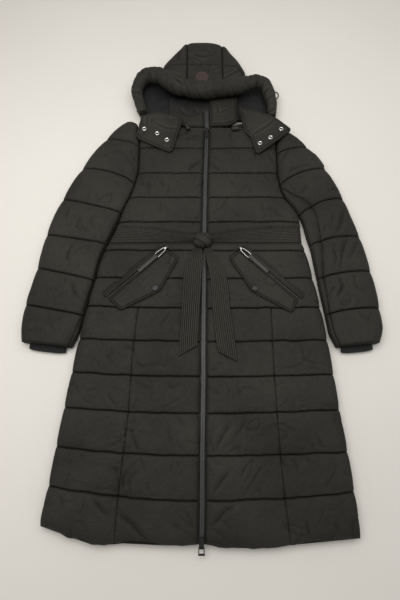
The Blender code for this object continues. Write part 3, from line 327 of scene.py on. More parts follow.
class Body(Enum):
    """Bodies of the frame that pieces ride on."""

    COAT = "coat"
    TOP_PULL = "zip_top_pull"
    BOTTOM_PULL = "zip_bottom_pull"
    LEFT_POCKET_PULL = "left_pocket_pull"
    RIGHT_POCKET_PULL = "right_pocket_pull"


class Side(Enum):
    """Sides of the coat, with the sign of their X."""

    LEFT = -1
    RIGHT = 1

    @property
    def word(self) -> str:
        """Name of the side."""
        return self.name.lower()


@dataclass
class Skin:
    """Surface in the making: points, the corners of its faces, and values kept at its points."""

    points: Floats
    faces: list[Floats]
    values: dict[str, Floats] = field(default_factory=dict)

    @classmethod
    def through(cls, rings: Floats, caps: bool = True, closed: bool = False, **values: Floats) -> "Skin":
        """Closed surface through rings of equal count.

        Args:
            rings: Points as (ring, place round it, axis).
            caps: Whether to close the two ends with a face.
            closed: Whether the last ring joins the first.
            values: Values at the points, as (ring, place round it).

        Returns:
            The surface.
        """
        count, sides = rings.shape[:2]
        index = np.arange(count * sides).reshape(count, sides)
        if closed:
            index = np.vstack((index, index[:1]))
        after = np.roll(index, -1, axis=1)
        quads = np.stack((index[:-1], after[:-1], after[1:], index[1:]), axis=-1).reshape(-1, 4)
        faces = [quads]
        if caps and not closed:
            faces += [index[0][::-1][None], index[-1][None]]
        kept = {name: np.asarray(value, float).reshape(-1) for name, value in values.items()}
        return cls(rings.reshape(-1, 3), faces, kept)

    def joined(self, other: "Skin") -> "Skin":
        """This surface and another as one."""
        faces = self.faces + [corners + len(self.points) for corners in other.faces]
        names = set(self.values) | set(other.values)
        values = {}
        for name in names:
            parts = [skin.values.get(name, np.zeros(len(skin.points))) for skin in (self, other)]
            values[name] = np.concatenate(parts)
        return Skin(np.concatenate((self.points, other.points)), faces, values)

    def volume(self) -> float:
        """Signed volume of the surface, positive where its faces look outward."""
        total = 0.0
        for corners in self.faces:
            first = self.points[corners[:, 0]]
            for step in range(1, corners.shape[1] - 1):
                second, third = self.points[corners[:, step]], self.points[corners[:, step + 1]]
                total += float(np.einsum("ij,ij->", first, np.cross(second, third)))
        return total / 6.0

    def build(self, name: str, look: Look, sharp: float = 50.0, lining: Optional[Floats] = None,
              inside: Look = Look.LINING) -> bpy.types.Object:
        """Make the Blender object.

        Args:
            name: Name of the object.
            look: Finish of the object.
            sharp: Angle in degrees past which an edge is drawn sharp.
            lining: Which points have the second finish, where some have.
            inside: The second finish.

        Returns:
            The object, linked to the scene.
        """
        flip = self.volume() < 0.0
        faces = [corners[:, ::-1] if flip else corners for corners in self.faces]
        corners = np.concatenate([part.reshape(-1) for part in faces]).astype(np.int32)
        counts = np.concatenate([np.full(len(part), part.shape[1]) for part in faces])
        starts = np.concatenate(([0], np.cumsum(counts)[:-1])).astype(np.int32)
        mesh = bpy.data.meshes.new(name)
        mesh.vertices.add(len(self.points))
        mesh.vertices.foreach_set("co", (self.points * MM).astype(np.float32).reshape(-1))
        mesh.loops.add(len(corners))
        mesh.loops.foreach_set("vertex_index", corners)
        mesh.polygons.add(len(starts))
        mesh.polygons.foreach_set("loop_start", starts)
        for label, value in self.values.items():
            layer = mesh.attributes.new(label, "FLOAT", "POINT")
            layer.data.foreach_set("value", value.astype(np.float32))
        mesh.update(calc_edges=True)
        mesh.validate()
        mesh.shade_smooth()
        mesh.set_sharp_from_angle(angle=math.radians(sharp))
        mesh.materials.append(Finishes.of(look))
        if lining is not None:
            mesh.materials.append(Finishes.of(inside))
            lined = np.concatenate([lining[part].mean(axis=1) > 0.5 for part in faces])
            mesh.polygons.foreach_set("material_index", lined.astype(np.int32))
        item = bpy.data.objects.new(name, mesh)
        bpy.context.scene.collection.objects.link(item)
        return item


def dress(item: bpy.types.Object, look: Look, nodes: Sequence[str], body: Body = Body.COAT,
          fill: Optional[float] = None) -> bpy.types.Object:
    """Hide the solids that a piece replaces, and hang it on the body that it rides on.

    Args:
        item: The piece.
        look: Its finish; not used.
        nodes: Solids that it replaces.
        body: Body that it moves with.
        fill: How full it is, where it is padded; not used.

    Returns:
        The piece.
    """
    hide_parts(*nodes)
    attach(item, body.value)
    LOG.info("%s: %d faces", item.name, len(item.data.polygons))
    return item


# Materials


class Wiring:
    """Places shader nodes in a tree and joins them."""

    def __init__(self, tree: bpy.types.NodeTree) -> None:
        """Keep the tree."""
        self.tree = tree

    def feed(self, socket: bpy.types.NodeSocket, value: Feed) -> None:
        """Join a socket to a socket, or set its value."""
        if isinstance(value, bpy.types.NodeSocket):
            self.tree.links.new(value, socket)
        else:
            socket.default_value = value

    def node(self, kind: str, inputs: Optional[dict] = None, **settings) -> bpy.types.Node:
        """Place a node.

        Args:
            kind: Blender's name of the node type.
            inputs: Sockets or values by input name or number.
            settings: Properties of the node.

        Returns:
            The node.
        """
        made = self.tree.nodes.new(kind)
        for name, value in settings.items():
            setattr(made, name, value)
        for name, value in (inputs or {}).items():
            self.feed(made.inputs[name], value)
        return made

    def math(self, operation: str, *values: Feed, clamp: bool = False) -> bpy.types.NodeSocket:
        """Result of a math node on one to three values."""
        made = self.node("ShaderNodeMath", dict(enumerate(values)), operation=operation, use_clamp=clamp)
        return made.outputs[0]

    def span(self, value: Feed, low: float, high: float, start: float = 0.0,
             end: float = 1.0) -> bpy.types.NodeSocket:
        """Value moved from one range to another and held inside it."""
        inputs = {"Value": value, "From Min": low, "From Max": high, "To Min": start, "To Max": end}
        return self.node("ShaderNodeMapRange", inputs).outputs["Result"]

    def blend(self, factor: Feed, first: Feed, second: Feed) -> bpy.types.NodeSocket:
        """Colour between two colours."""
        made = self.node("ShaderNodeMix", data_type="RGBA")
        for index, value in ((0, factor), (6, first), (7, second)):
            self.feed(made.inputs[index], (*value, 1.0) if isinstance(value, tuple) else value)
        return made.outputs[2]

    def noise(self, vector: Feed, scale: Feed, detail: float = 3.0,
              **settings) -> bpy.types.NodeSocket:
        """Value of a noise texture."""
        inputs = {"Vector": vector, "Scale": scale, "Detail": detail}
        return self.node("ShaderNodeTexNoise", inputs, **settings).outputs[0]


class Effects:
    """Shader node groups that more than one finish uses, each built once."""

    made: dict[str, bpy.types.NodeTree] = {}

    @classmethod
    def group(cls, name: str, inputs: dict[str, float],
              outputs: Sequence[str]) -> tuple[Wiring, bpy.types.NodeOutputs, bpy.types.NodeInputs]:
        """Start a group with a vector input and named values.

        Args:
            name: Name of the group.
            inputs: Names of the values that go in, with what they are at first.
            outputs: Names of the values that come out.

        Returns:
            The wiring of the group, its inputs' node and its outputs' node.
        """
        tree = bpy.data.node_groups.new(name, "ShaderNodeTree")
        tree.interface.new_socket("Vector", in_out="INPUT", socket_type="NodeSocketVector")
        for label, value in inputs.items():
            socket = tree.interface.new_socket(label, in_out="INPUT", socket_type="NodeSocketFloat")
            socket.default_value = value
        for label in outputs:
            tree.interface.new_socket(label, in_out="OUTPUT", socket_type="NodeSocketFloat")
        wiring = Wiring(tree)
        return wiring, wiring.node("NodeGroupInput").outputs, wiring.node("NodeGroupOutput").inputs

    @classmethod
    def weave(cls) -> bpy.types.NodeTree:
        """Plain weave: threads that cross over and under each other."""
        if "weave" not in cls.made:
            wiring, into, out = cls.group("plain weave", {"Threads": 1800.0}, ("Height", "Thread"))
            parts = wiring.node("ShaderNodeSeparateXYZ", {"Vector": into["Vector"]}).outputs
            turns = wiring.math("MULTIPLY", into["Threads"], math.pi)
            weft = wiring.math("ADD", parts[0], parts[2])
            warp = wiring.math("SUBTRACT", parts[1], parts[2])
            across = wiring.math("SINE", wiring.math("MULTIPLY", weft, turns))
            along = wiring.math("SINE", wiring.math("MULTIPLY", warp, turns))
            crossing = wiring.math("MULTIPLY", across, along)
            slub = wiring.noise(into["Vector"], 900.0, 2.0)
            wiring.feed(out["Height"], wiring.math("ADD", wiring.math("MULTIPLY", crossing, 0.5), slub))
            wiring.feed(out["Thread"], wiring.span(crossing, -1.0, 1.0))
            cls.made["weave"] = wiring.tree
        return cls.made["weave"]

    @classmethod
    def crinkle(cls) -> bpy.types.NodeTree:
        """Small sharp wrinkles of thin cloth, and how worn their crests are."""
        if "crinkle" not in cls.made:
            wiring, into, out = cls.group("cloth crinkle", {"Scale": 60.0}, ("Height", "Crest"))
            bend = wiring.node("ShaderNodeTexNoise", {"Vector": into["Vector"], "Scale": 30.0, "Detail": 2.0})
            shift = wiring.node("ShaderNodeVectorMath", {0: bend.outputs["Color"], 1: (0.5, 0.5, 0.5)},
                                operation="SUBTRACT")
            scaled = wiring.node("ShaderNodeVectorMath", {0: shift.outputs[0], "Scale": 0.03},
                                 operation="SCALE")
            moved = wiring.node("ShaderNodeVectorMath", {0: into["Vector"], 1: scaled.outputs[0]},
                                operation="ADD").outputs[0]
            wide = wiring.noise(moved, into["Scale"], 3.0)
            fold = wiring.math("ABSOLUTE", wiring.math("SUBTRACT", wide, 0.5))
            fine = wiring.noise(moved, wiring.math("MULTIPLY", into["Scale"], 3.7), 3.0)
            ridge = wiring.math("MULTIPLY", wiring.span(fold, 0.0, 0.16, 1.0, 0.0), 0.6)
            wiring.feed(out["Height"], wiring.math("ADD", ridge, wiring.math("MULTIPLY", fine, 0.7)))
            wiring.feed(out["Crest"], wiring.span(fold, 0.0, 0.05, 1.0, 0.0))
            cls.made["crinkle"] = wiring.tree
        return cls.made["crinkle"]

    @classmethod
    def mottle(cls) -> bpy.types.NodeTree:
        """Broad uneven tone of dyed cloth with a little dust in it."""
        if "mottle" not in cls.made:
            wiring, into, out = cls.group("dye mottle", {"Scale": 7.0}, ("Tone", "Dust"))
            broad = wiring.noise(into["Vector"], into["Scale"], 4.0)
            speck = wiring.noise(into["Vector"], wiring.math("MULTIPLY", into["Scale"], 60.0), 4.0)
            wiring.feed(out["Tone"], wiring.span(broad, 0.32, 0.68))
            wiring.feed(out["Dust"], wiring.span(speck, 0.62, 0.8))
            cls.made["mottle"] = wiring.tree
        return cls.made["mottle"]

    @classmethod
    def sewing(cls) -> bpy.types.NodeTree:
        """Stitches, painted shade of seams and creases and painted highlight on crests, from the values that
        the mesh keeps at its points.
        """
        if "sewing" not in cls.made:
            wiring, into, out = cls.group("sewn seam", {"Pitch": 0.32}, ("Shade", "Crest", "Stitch"))
            # The seam value holds painted shade above zero and painted highlight below zero.
            seam = wiring.node("ShaderNodeAttribute", attribute_name="seam").outputs["Fac"]
            run = wiring.node("ShaderNodeAttribute", attribute_name="run").outputs["Fac"]
            turns = wiring.math("MULTIPLY", into["Pitch"], 2.0 * math.pi)
            beat = wiring.math("SINE", wiring.math("MULTIPLY", run, turns))
            thread = wiring.math("MULTIPLY", wiring.span(seam, 0.8, 0.95), wiring.span(beat, -0.5, 0.1))
            # Shade is the painted shade, Crest the painted highlight.
            wiring.feed(out["Shade"], wiring.span(seam, 0.0, 1.0))
            wiring.feed(out["Crest"], wiring.span(seam, -1.0, 0.0, 1.0, 0.0))
            wiring.feed(out["Stitch"], thread)
            cls.made["sewing"] = wiring.tree
        return cls.made["sewing"]

    @classmethod
    def brush(cls) -> bpy.types.NodeTree:
        """Fine scratches and worn spots of plated metal."""
        if "brush" not in cls.made:
            wiring, into, out = cls.group("metal wear", {"Scale": 500.0}, ("Height", "Wear"))
            stretch = wiring.node("ShaderNodeMapping", {"Vector": into["Vector"], "Scale": (1.0, 0.12, 1.0)})
            fine = wiring.noise(stretch.outputs[0], into["Scale"], 4.0)
            worn = wiring.noise(into["Vector"], wiring.math("MULTIPLY", into["Scale"], 0.5), 3.0)
            wiring.feed(out["Height"], fine)
            wiring.feed(out["Wear"], wiring.span(worn, 0.45, 0.72))
            cls.made["brush"] = wiring.tree
        return cls.made["brush"]


@dataclass(frozen=True)
class ClothFinish:
    """Woven or knitted cloth: its colours, sheen and relief."""

    dark: tuple[float, float, float]
    light: tuple[float, float, float]
    roughness: tuple[float, float]
    sheen: float
    threads: float
    weave_depth: float
    crinkle_scale: float
    crinkle_depth: float
    specular: float = 0.4
    # How dark the painted shade of seams and creases gets.
    seam_shade: float = 0.75
    sheen_roughness: float = 0.5

    def material(self, name: str) -> bpy.types.Material:
        """Build the material.

        Args:
            name: Name of the material.

        Returns:
            The material.
        """
        made = bpy.data.materials.new(name)
        made.use_nodes = True
        wiring = Wiring(made.node_tree)
        shader = made.node_tree.nodes["Principled BSDF"]
        where = wiring.node("ShaderNodeTexCoord").outputs["Object"]

        def effect(tree: bpy.types.NodeTree, **values) -> bpy.types.NodeOutputs:
            """Outputs of a node group placed in this material."""
            return wiring.node("ShaderNodeGroup", {"Vector": where, **values}, node_tree=tree).outputs

        mottle = effect(Effects.mottle())
        crinkle = effect(Effects.crinkle(), Scale=self.crinkle_scale)
        weave = effect(Effects.weave(), Threads=self.threads)
        sewing = effect(Effects.sewing())
        tone = wiring.blend(mottle["Tone"], self.dark, self.light)
        threads = wiring.blend(wiring.math("MULTIPLY", weave["Thread"], 0.25), tone, self.light)
        dusty = wiring.blend(wiring.math("MULTIPLY", mottle["Dust"], 0.12), threads,
                             tuple(min(1.0, part * 2.2) for part in self.light))
        # Painted shade: seams and crease bottoms darken toward a near-black copy of the dark colour.
        painted_shade_colour = tuple(part * 0.25 for part in self.dark)
        with_painted_shade = wiring.blend(wiring.math("MULTIPLY", sewing["Shade"], self.seam_shade), dusty, painted_shade_colour)
        # Painted highlight: crease crests lighten toward a brighter copy of the light colour.
        painted_highlight_colour = tuple(min(1.0, part * 2.4) for part in self.light)
        with_painted_highlight = wiring.blend(wiring.math("MULTIPLY", sewing["Crest"], 0.5), with_painted_shade, painted_highlight_colour)
        stitched = wiring.blend(wiring.math("MULTIPLY", sewing["Stitch"], 0.35), with_painted_highlight, self.light)
        wiring.feed(shader.inputs["Base Color"], stitched)
        wiring.feed(shader.inputs["Roughness"], wiring.span(crinkle["Crest"], 0.0, 1.0, *self.roughness))
        shader.inputs["Specular IOR Level"].default_value = self.specular
        shader.inputs["Sheen Weight"].default_value = self.sheen
        shader.inputs["Sheen Roughness"].default_value = self.sheen_roughness
        folds = wiring.node("ShaderNodeBump", {
            "Height": crinkle["Height"], "Distance": self.crinkle_depth * MM, "Strength": 1.0})
        fine = wiring.node("ShaderNodeBump", {"Height": weave["Height"], "Distance": self.weave_depth * MM,
                                              "Strength": 1.0, "Normal": folds.outputs[0]})
        wiring.feed(shader.inputs["Normal"], fine.outputs[0])
        return made


@dataclass(frozen=True)
class HardFinish:
    """Metal or plastic: its colours, roughness and wear."""

    dark: tuple[float, float, float]
    light: tuple[float, float, float]
    roughness: tuple[float, float]
    metallic: float
    scratch_depth: float = 0.02

    def material(self, name: str) -> bpy.types.Material:
        """Build the material.

        Args:
            name: Name of the material.

        Returns:
            The material.
        """
        made = bpy.data.materials.new(name)
        made.use_nodes = True
        wiring = Wiring(made.node_tree)
        shader = made.node_tree.nodes["Principled BSDF"]
        where = wiring.node("ShaderNodeTexCoord").outputs["Object"]
        wear = wiring.node("ShaderNodeGroup", {"Vector": where}, node_tree=Effects.brush()).outputs
        wiring.feed(shader.inputs["Base Color"], wiring.blend(wear["Wear"], self.dark, self.light))
        wiring.feed(shader.inputs["Roughness"], wiring.span(wear["Wear"], 0.0, 1.0, *self.roughness))
        shader.inputs["Metallic"].default_value = self.metallic
        bump = wiring.node("ShaderNodeBump", {"Height": wear["Height"], "Distance": self.scratch_depth * MM,
                                              "Strength": 1.0})
        wiring.feed(shader.inputs["Normal"], bump.outputs[0])
        return made


@dataclass(frozen=True)
class FloorFinish:
    """Plain pale studio floor."""

    dark: tuple[float, float, float] = (0.70, 0.68, 0.64)
    light: tuple[float, float, float] = (0.74, 0.72, 0.68)

    def material(self, name: str) -> bpy.types.Material:
        """Build the material."""
        made = bpy.data.materials.new(name)
        made.use_nodes = True
        wiring = Wiring(made.node_tree)
        shader = made.node_tree.nodes["Principled BSDF"]
        where = wiring.node("ShaderNodeTexCoord").outputs["Object"]
        tone = wiring.noise(where, 3.0, 3.0)
        wiring.feed(shader.inputs["Base Color"], wiring.blend(tone, self.dark, self.light))
        shader.inputs["Roughness"].default_value = 0.9
        shader.inputs["Specular IOR Level"].default_value = 0.2
        return made


class Finishes:
    """The finishes by name, each made once."""

    sizes: dict[Look, object] = {
        Look.SHELL: ClothFinish((0.0150, 0.0146, 0.0122), (0.0265, 0.0257, 0.0215), (0.70, 0.58), 0.0, 1700.0,
                                0.05, 60.0, 1.0, specular=0.16, seam_shade=0.94),
        Look.KNIT: ClothFinish((0.008, 0.008, 0.0085), (0.016, 0.016, 0.017), (0.9, 0.85), 0.2, 900.0, 0.12,
                               90.0, 0.2, specular=0.2),
        # The linings are near-black, darker than the shell: painted shade inside the hood and the collar.
        Look.LINING: ClothFinish((0.004, 0.004, 0.005), (0.008, 0.008, 0.009), (0.6, 0.5), 0.0, 2200.0, 0.04,
                                 60.0, 0.4, specular=0.3),
        Look.COLLAR_LINING: ClothFinish((0.0075, 0.0072, 0.0072), (0.012, 0.0115, 0.0115), (0.6, 0.5), 0.0,
                                        2200.0, 0.04, 60.0, 0.5, specular=0.3),
        Look.TAPE: ClothFinish((0.022, 0.022, 0.023), (0.034, 0.034, 0.035), (0.42, 0.34), 0.0, 1500.0, 0.05,
                               120.0, 0.08, specular=0.4, seam_shade=0.95),
        Look.BLACK_METAL: HardFinish((0.012, 0.012, 0.013), (0.035, 0.035, 0.037), (0.32, 0.45), 0.6),
        Look.SILVER: HardFinish((0.55, 0.54, 0.53), (0.68, 0.67, 0.65), (0.2, 0.34), 1.0),
        Look.BLACK_PLASTIC: HardFinish((0.004, 0.004, 0.004), (0.007, 0.007, 0.007), (0.5, 0.65), 0.0),
        Look.PATCH: ClothFinish((0.030, 0.014, 0.013), (0.042, 0.022, 0.020), (0.6, 0.55), 0.05, 1300.0, 0.08,
                                60.0, 0.1),
        Look.GRIP: ClothFinish((0.017, 0.017, 0.018), (0.028, 0.028, 0.029), (0.46, 0.38), 0.0, 1500.0, 0.04,
                               90.0, 0.05, specular=0.35),
        Look.CORD: ClothFinish((0.016, 0.017, 0.010), (0.030, 0.031, 0.020), (0.6, 0.5), 0.0, 1400.0, 0.1,
                               90.0, 0.1, specular=0.3),
        Look.FLOOR: FloorFinish(),
    }
    made: dict[Look, bpy.types.Material] = {}

    @classmethod
    def of(cls, look: Look) -> bpy.types.Material:
        """Material of a finish."""
        if look not in cls.made:
            cls.made[look] = cls.sizes[look].material(look.value)
        return cls.made[look]


# Body


class Seam(NamedTuple):
    """A quilting seam across the fronts: its height at the zip, its rise to each side edge."""

    y: float
    left_rise: float
    right_rise: float


class Rim(NamedTuple):
    """How a quilted piece ends at one edge: its height there, and how far in the filling rises."""

    seam_top: float
    puff_top: float
    reach: float


class Panel(NamedTuple):
    """A quilted front piece: its channels, its edges and their rims, and its columns."""

    suffix: str
    first: int
    last: int
    near: Curve
    far: Optional[Curve]
    near_rim: Rim
    far_rim: Rim
    columns: int


class Press(NamedTuple):
    """What lies on the cloth and holds it down: its outline, and the highest the cloth is there."""

    outline: tuple[Place, ...]
    seat: float
    slope: float

    def ceiling(self, x: Floats, y: Floats) -> Floats:
        """Highest that the cloth may be at each place, rising round the outline."""
        away = np.maximum(outline_distance(x, y, self.outline) - 1.5, 0.0)
        return self.seat + self.slope * away + 3.0 * (1.0 - np.exp(-away / 5.0))


@dataclass
class Quilt:
    """The quilting's layout over the body, and the filling between its seams."""

    seams: tuple[Seam, ...] = (
        Seam(352, 4, -6), Seam(278, 2, 0), Seam(195, 0, 0), Seam(117, 0, 0), Seam(42, 0, 0),
        Seam(-42, 2, 0), Seam(-119, 4, 2), Seam(-197, 7, 3), Seam(-280, 9, 4), Seam(-363, 12, 5),
        Seam(-445, 14, 9), Seam(-534, 20, 9), Seam(-622, 29, 17), Seam(-701, 31, 8))
    left_edge: Curve = Curve((
        (-702, -333), (-670, -333), (-610, -326), (-514, -317), (-410, -306), (-299, -293),
        (-214, -281), (-122, -264), (-69, -254), (-18, -239), (10, -227), (50, -214), (101, -197),
        (164, -177), (220, -170), (300, -172), (372, -181)))
    right_edge: Curve = Curve((
        (-702, 332), (-677, 331), (-610, 329), (-538, 325), (-437, 316), (-341, 310), (-229, 300),
        (-133, 287), (-47, 273), (-5, 266), (35, 266), (62, 261), (88, 248), (115, 230), (150, 218),
        (207, 214), (289, 216), (352, 223)))
    zip_line: Curve = Curve((
        (-705, 3), (-620, 5), (-493, 6), (-371, 8), (-177, 9), (40, 12), (187, 15), (354, 20), (430, 19)))
    base: float = 16.3
    hem_drop: Curve = Curve((
        (-333, 0), (-302, 2), (-268, 10), (-248, 9), (-226, 16), (-204, 14), (-165, 8), (-124, 1),
        (-82, 4), (-41, 5), (-10, 1.5), (20, 4), (45, 8), (103, 9), (144, 10), (185, 7), (227, 2),
        (268, 0), (332, 0)))
    seam_top: float = 28.4
    puff_top: float = 31.4
    side_bulge: float = 1.6
    armhole_foot: float = 110.0
    belt_pinch: float = 5.0
    wander: Noise = Noise(17)
    wander_depth: float = 1.5

    def edge(self, side: Side, y: Floats) -> Floats:
        """Where the side edge lies at a height up the coat."""
        return (self.left_edge if side is Side.LEFT else self.right_edge)(y)

    def rows(self, first: int, last: int, steps: int) -> tuple[Floats, Floats]:
        """Channel and phase of each row from one seam to another, close together at the seams."""
        share = np.arange(steps) / steps
        phases = 0.55 * share + 0.45 * (0.5 - 0.5 * np.cos(math.pi * share))
        channels = np.repeat(np.arange(first, last), steps)
        phase = np.tile(phases, last - first)
        return np.append(channels, last - 1), np.append(phase, 1.0)

    def shift(self, x: Floats, channel: Floats, phase: Floats) -> Floats:
        """How far rows wander up the coat, as the sewing of each seam does, and how far the hem drops."""
        above, below = channel[:, None] * 3.7, (channel + 1)[:, None] * 3.7
        first, second = (self.wander(x / 46.0, seam) + 0.5 * self.wander(x / 17.0, seam + 40.0)
                         for seam in (above, below))
        hem = np.where(channel == len(self.seams) - 2, phase, 0.0)[:, None]
        return self.wander_depth * mix(first, second, phase[:, None]) * (1.0 - hem) - hem * self.hem_drop(x)

    def row_lines(self, side: Side, channel: Floats, phase: Floats) -> tuple[Floats, Floats, Floats, Floats]:
        """Centre height, rise at the edge, side edge and channel width of rows."""
        table = np.array(self.seams, float)
        above, below = table[channel], table[channel + 1]
        column = 1 if side is Side.LEFT else 2
        centre = mix(above[:, 0], below[:, 0], phase)
        rise = mix(above[:, column], below[:, column], phase)
        free = climb(self.armhole_foot, self.armhole_foot - 40, centre)
        bulge = self.side_bulge * (self.puff(phase) - 0.5) * free
        belted = np.exp(-((centre + rise - 1.5) / 26.0) ** 4)
        bulge = mix(bulge, -self.belt_pinch, belted)
        return centre, rise, self.edge(side, centre + rise) + side.value * bulge, above[:, 0] - below[:, 0]

    @staticmethod
    def puff(phase: Floats) -> Floats:
        """Rise of a filled channel, 0 at its seams and 1 at its middle."""
        return 1.0 - np.abs(2.0 * phase - 1.0) ** 3.0


def places_across(width: Floats, left_reach: float, right_reach: float, columns: int) -> Floats:
    """Places across rows, close together where the filling rises.

    Args:
        width: Width of each row.
        left_reach: How far the filling rises from the first edge.
        right_reach: How far it rises from the last edge.
        columns: Places between the two rises.

    Returns:
        Distance from the first edge, as (row, column).
    """
    scale = np.minimum(1.0, 0.8 * width / (left_reach + right_reach))[:, None]
    rise = 1.0 - np.cos(np.linspace(0.0, math.pi / 2, 8))
    left, right = left_reach * scale, right_reach * scale
    share = np.linspace(0.0, 1.0, columns + 2)[1:-1]
    middle = mix(left, width[:, None] - right, share)
    return np.hstack((left * rise, middle, width[:, None] - right * rise[::-1]))


def filled(width: Floats, place: Floats, rise: Floats, rims: tuple[Rim, Rim], seam_top: Value,
           puff_top: Value) -> Floats:
    """Heights of a quilted piece.

    Args:
        width: Width of each row, as a column.
        place: Distance from the first edge.
        rise: Rise of each row's filling, as a column.
        rims: How the piece ends at its first and last edges.
        seam_top: Height of its seams.
        puff_top: Height of its filling.

    Returns:
        Height at each place.
    """
    crown = mix(seam_top, puff_top, rise) + 0.0 * place
    for distance, rim in ((place, rims[0]), (width - place, rims[1])):
        edge = np.minimum(mix(rim.seam_top, rim.puff_top, rise), crown)
        crown = mix(edge, crown, swell(distance, rim.reach))
    return crown


@dataclass
class Fronts:
    """The two upper fronts and the four skirt pieces, quilted and pressed by what lies on them."""

    quilt: Quilt
    presses: tuple[Press, ...]
    steps: int = 34
    tape_width: float = 8.0
    groove_depth: float = 4.4
    groove_width: float = 1.6
    # Width of the painted shade along the quilting seams.
    seam_shade: float = 1.5
    sewn_reach: float = 3.0
    sewn_depth: float = 2.2
    # Painted shadow line round the pocket flaps: its place and width, and how dark it is.
    sewn_line: Place = (0.5, 1.2)
    sewn_shade: float = 0.75
    open_reach: float = 9.0
    side_seed: float = 40.0
    armhole_span: Place = (-60.0, 20.0)
    armhole_tops: Place = (18.6, 22.5)
    skirt_seam: int = 7
    shoulder_top: float = 18.5
    ceiling: float = 33.4
    zip_rim: Rim = Rim(19.6, 21.0, 16.0)
    side_rim: Rim = Rim(17.8, 19.3, 22.0)
    skirt_rim: Rim = Rim(23.4, 28.6, 8.0)
    left_skirt_seam: tuple[Place, ...] = (
        (-702, -175), (-609, -172), (-444, -161), (-300, -158), (-190, -150))
    right_skirt_seam: tuple[Place, ...] = (
        (-702, 185), (-609, 178), (-444, 173), (-300, 172), (-190, 174))
    left_shoulder: tuple[Place, ...] = ((0, 356), (55, 357), (92, 372), (120, 376), (200, 371))
    right_shoulder: tuple[Place, ...] = ((0, 356), (55, 357), (92, 372), (120, 372), (210, 352))
    folds: tuple[Fold, ...] = (
        Fold(((-223, -620), (-205, -640), (-190, -648)), 3.2, 5.0),
        Fold(((-177, -640), (-149, -660), (-119, -685), (-98, -700)), 3.6, 5.5),
        Fold(((-159, -468), (-138, -515), (-114, -571)), 1.8, 6.0),
        Fold(((-72, -468), (-62, -515)), 1.4, 5.0),
        Fold(((-214, -401), (-187, -429)), 1.8, 5.0),
        Fold(((-141, -340), (-108, -337), (-72, -340)), 1.0, 5.0),
        Fold(((-291, -614), (-287, -636)), 1.6, 4.0),
        Fold(((-259, -503), (-261, -523), (-251, -546)), 1.8, 4.5),
        Fold(((-52, -540), (-46, -554)), 1.4, 4.0),
        Fold(((-250, -689), (-231, -699)), 2.0, 5.0),
        Fold(((-30, 202), (-22, 217), (6, 236)), 2.0, 4.5),
        Fold(((-17, 38), (-2, 56)), 1.6, 4.0),
        Fold(((-256, -197), (-233, -212)), 1.4, 4.0),
        Fold(((33, 227), (45, 214), (61, 198)), 1.6, 4.5),
        Fold(((80, 174), (96, 150)), 1.4, 4.0),
        Fold(((188, 265), (209, 233)), 1.6, 4.5),
        Fold(((157, 258), (152, 238)), 1.4, 4.0),
        Fold(((68, -465), (49, -494), (33, -523)), 2.0, 5.5),
        Fold(((106, -453), (83, -491)), 1.4, 5.0),
        Fold(((64, -563), (47, -582), (29, -605)), 2.6, 5.5),
        Fold(((98, -551), (88, -574)), 1.4, 5.0),
        Fold(((76, -628), (52, -641), (29, -664)), 2.4, 5.0),
        Fold(((217, -656), (226, -687)), 2.0, 5.0),
        Fold(((276, -659), (285, -682)), 1.8, 5.0),
        Fold(((272, -683), (268, -694)), 2.0, 4.0),
        Fold(((256, -491), (271, -523)), 1.6, 5.0),
        Fold(((16, -388), (50, -407)), 1.6, 4.5),
        Fold(((19, -353), (45, -343)), 1.4, 4.5),
        Fold(((83, -385), (98, -410)), 1.2, 4.5),
        Fold(((-33, 197), (-26, 213), (6, 234)), 2.4, 4.5),
        Fold(((29, 226), (55, 199)), 2.2, 4.5),
        Fold(((188, 256), (209, 224)), 1.8, 4.5),
        Fold(((-157, 176), (-157, 148)), 1.4, 4.0),
        Fold(((-143, 180), (-137, 135)), 1.6, 4.0),
        Fold(((-103, 180), (-104, 154)), 1.4, 4.0),
        Fold(((-83, 160), (-88, 119)), 1.6, 4.0),
        Fold(((-104, 106), (-107, 68)), 1.6, 4.0),
        Fold(((-5, 64), (-16, 38)), 1.6, 4.0),
        Fold(((77, 88), (106, 55)), 1.6, 4.5),
        Fold(((166, 104), (166, 68)), 1.4, 4.5),
        Fold(((143, 287), (157, 244)), 1.6, 4.5),
        Fold(((39, 53), (47, 42)), 1.4, 4.0),
    )

    def __post_init__(self) -> None:
        """Set up the wrinkles."""
        self.wrinkles = Wrinkles(11, self.folds)

    def panels(self, side: Side) -> list[Panel]:
        """The pieces of one side."""
        sign = side.value
        seam = self.left_skirt_seam if side is Side.LEFT else self.right_skirt_seam
        zip_side = Curve((y, x + sign * self.tape_width)
                         for y, x in zip(self.quilt.zip_line.places, self.quilt.zip_line.values))
        inner = Curve((y, x - sign * GAP / 2) for y, x in seam)
        outer = Curve((y, x + sign * GAP / 2) for y, x in seam)
        last = len(self.quilt.seams) - 1
        return [
            Panel("_front", 0, self.skirt_seam, zip_side, None, self.zip_rim, self.side_rim, 78),
            Panel("_skirt_centre", self.skirt_seam, last, zip_side, inner, self.zip_rim, self.skirt_rim, 62),
            Panel("_skirt_side", self.skirt_seam, last, outer, None, self.skirt_rim, self.side_rim, 52),
        ]

    def build(self) -> None:
        """Build every piece of both sides."""
        for side in Side:
            for panel in self.panels(side):
                name = side.word + panel.suffix
                dress(self.skin(side, panel).build(name + "_cloth", Look.SHELL), Look.SHELL, [name], fill=0.5)

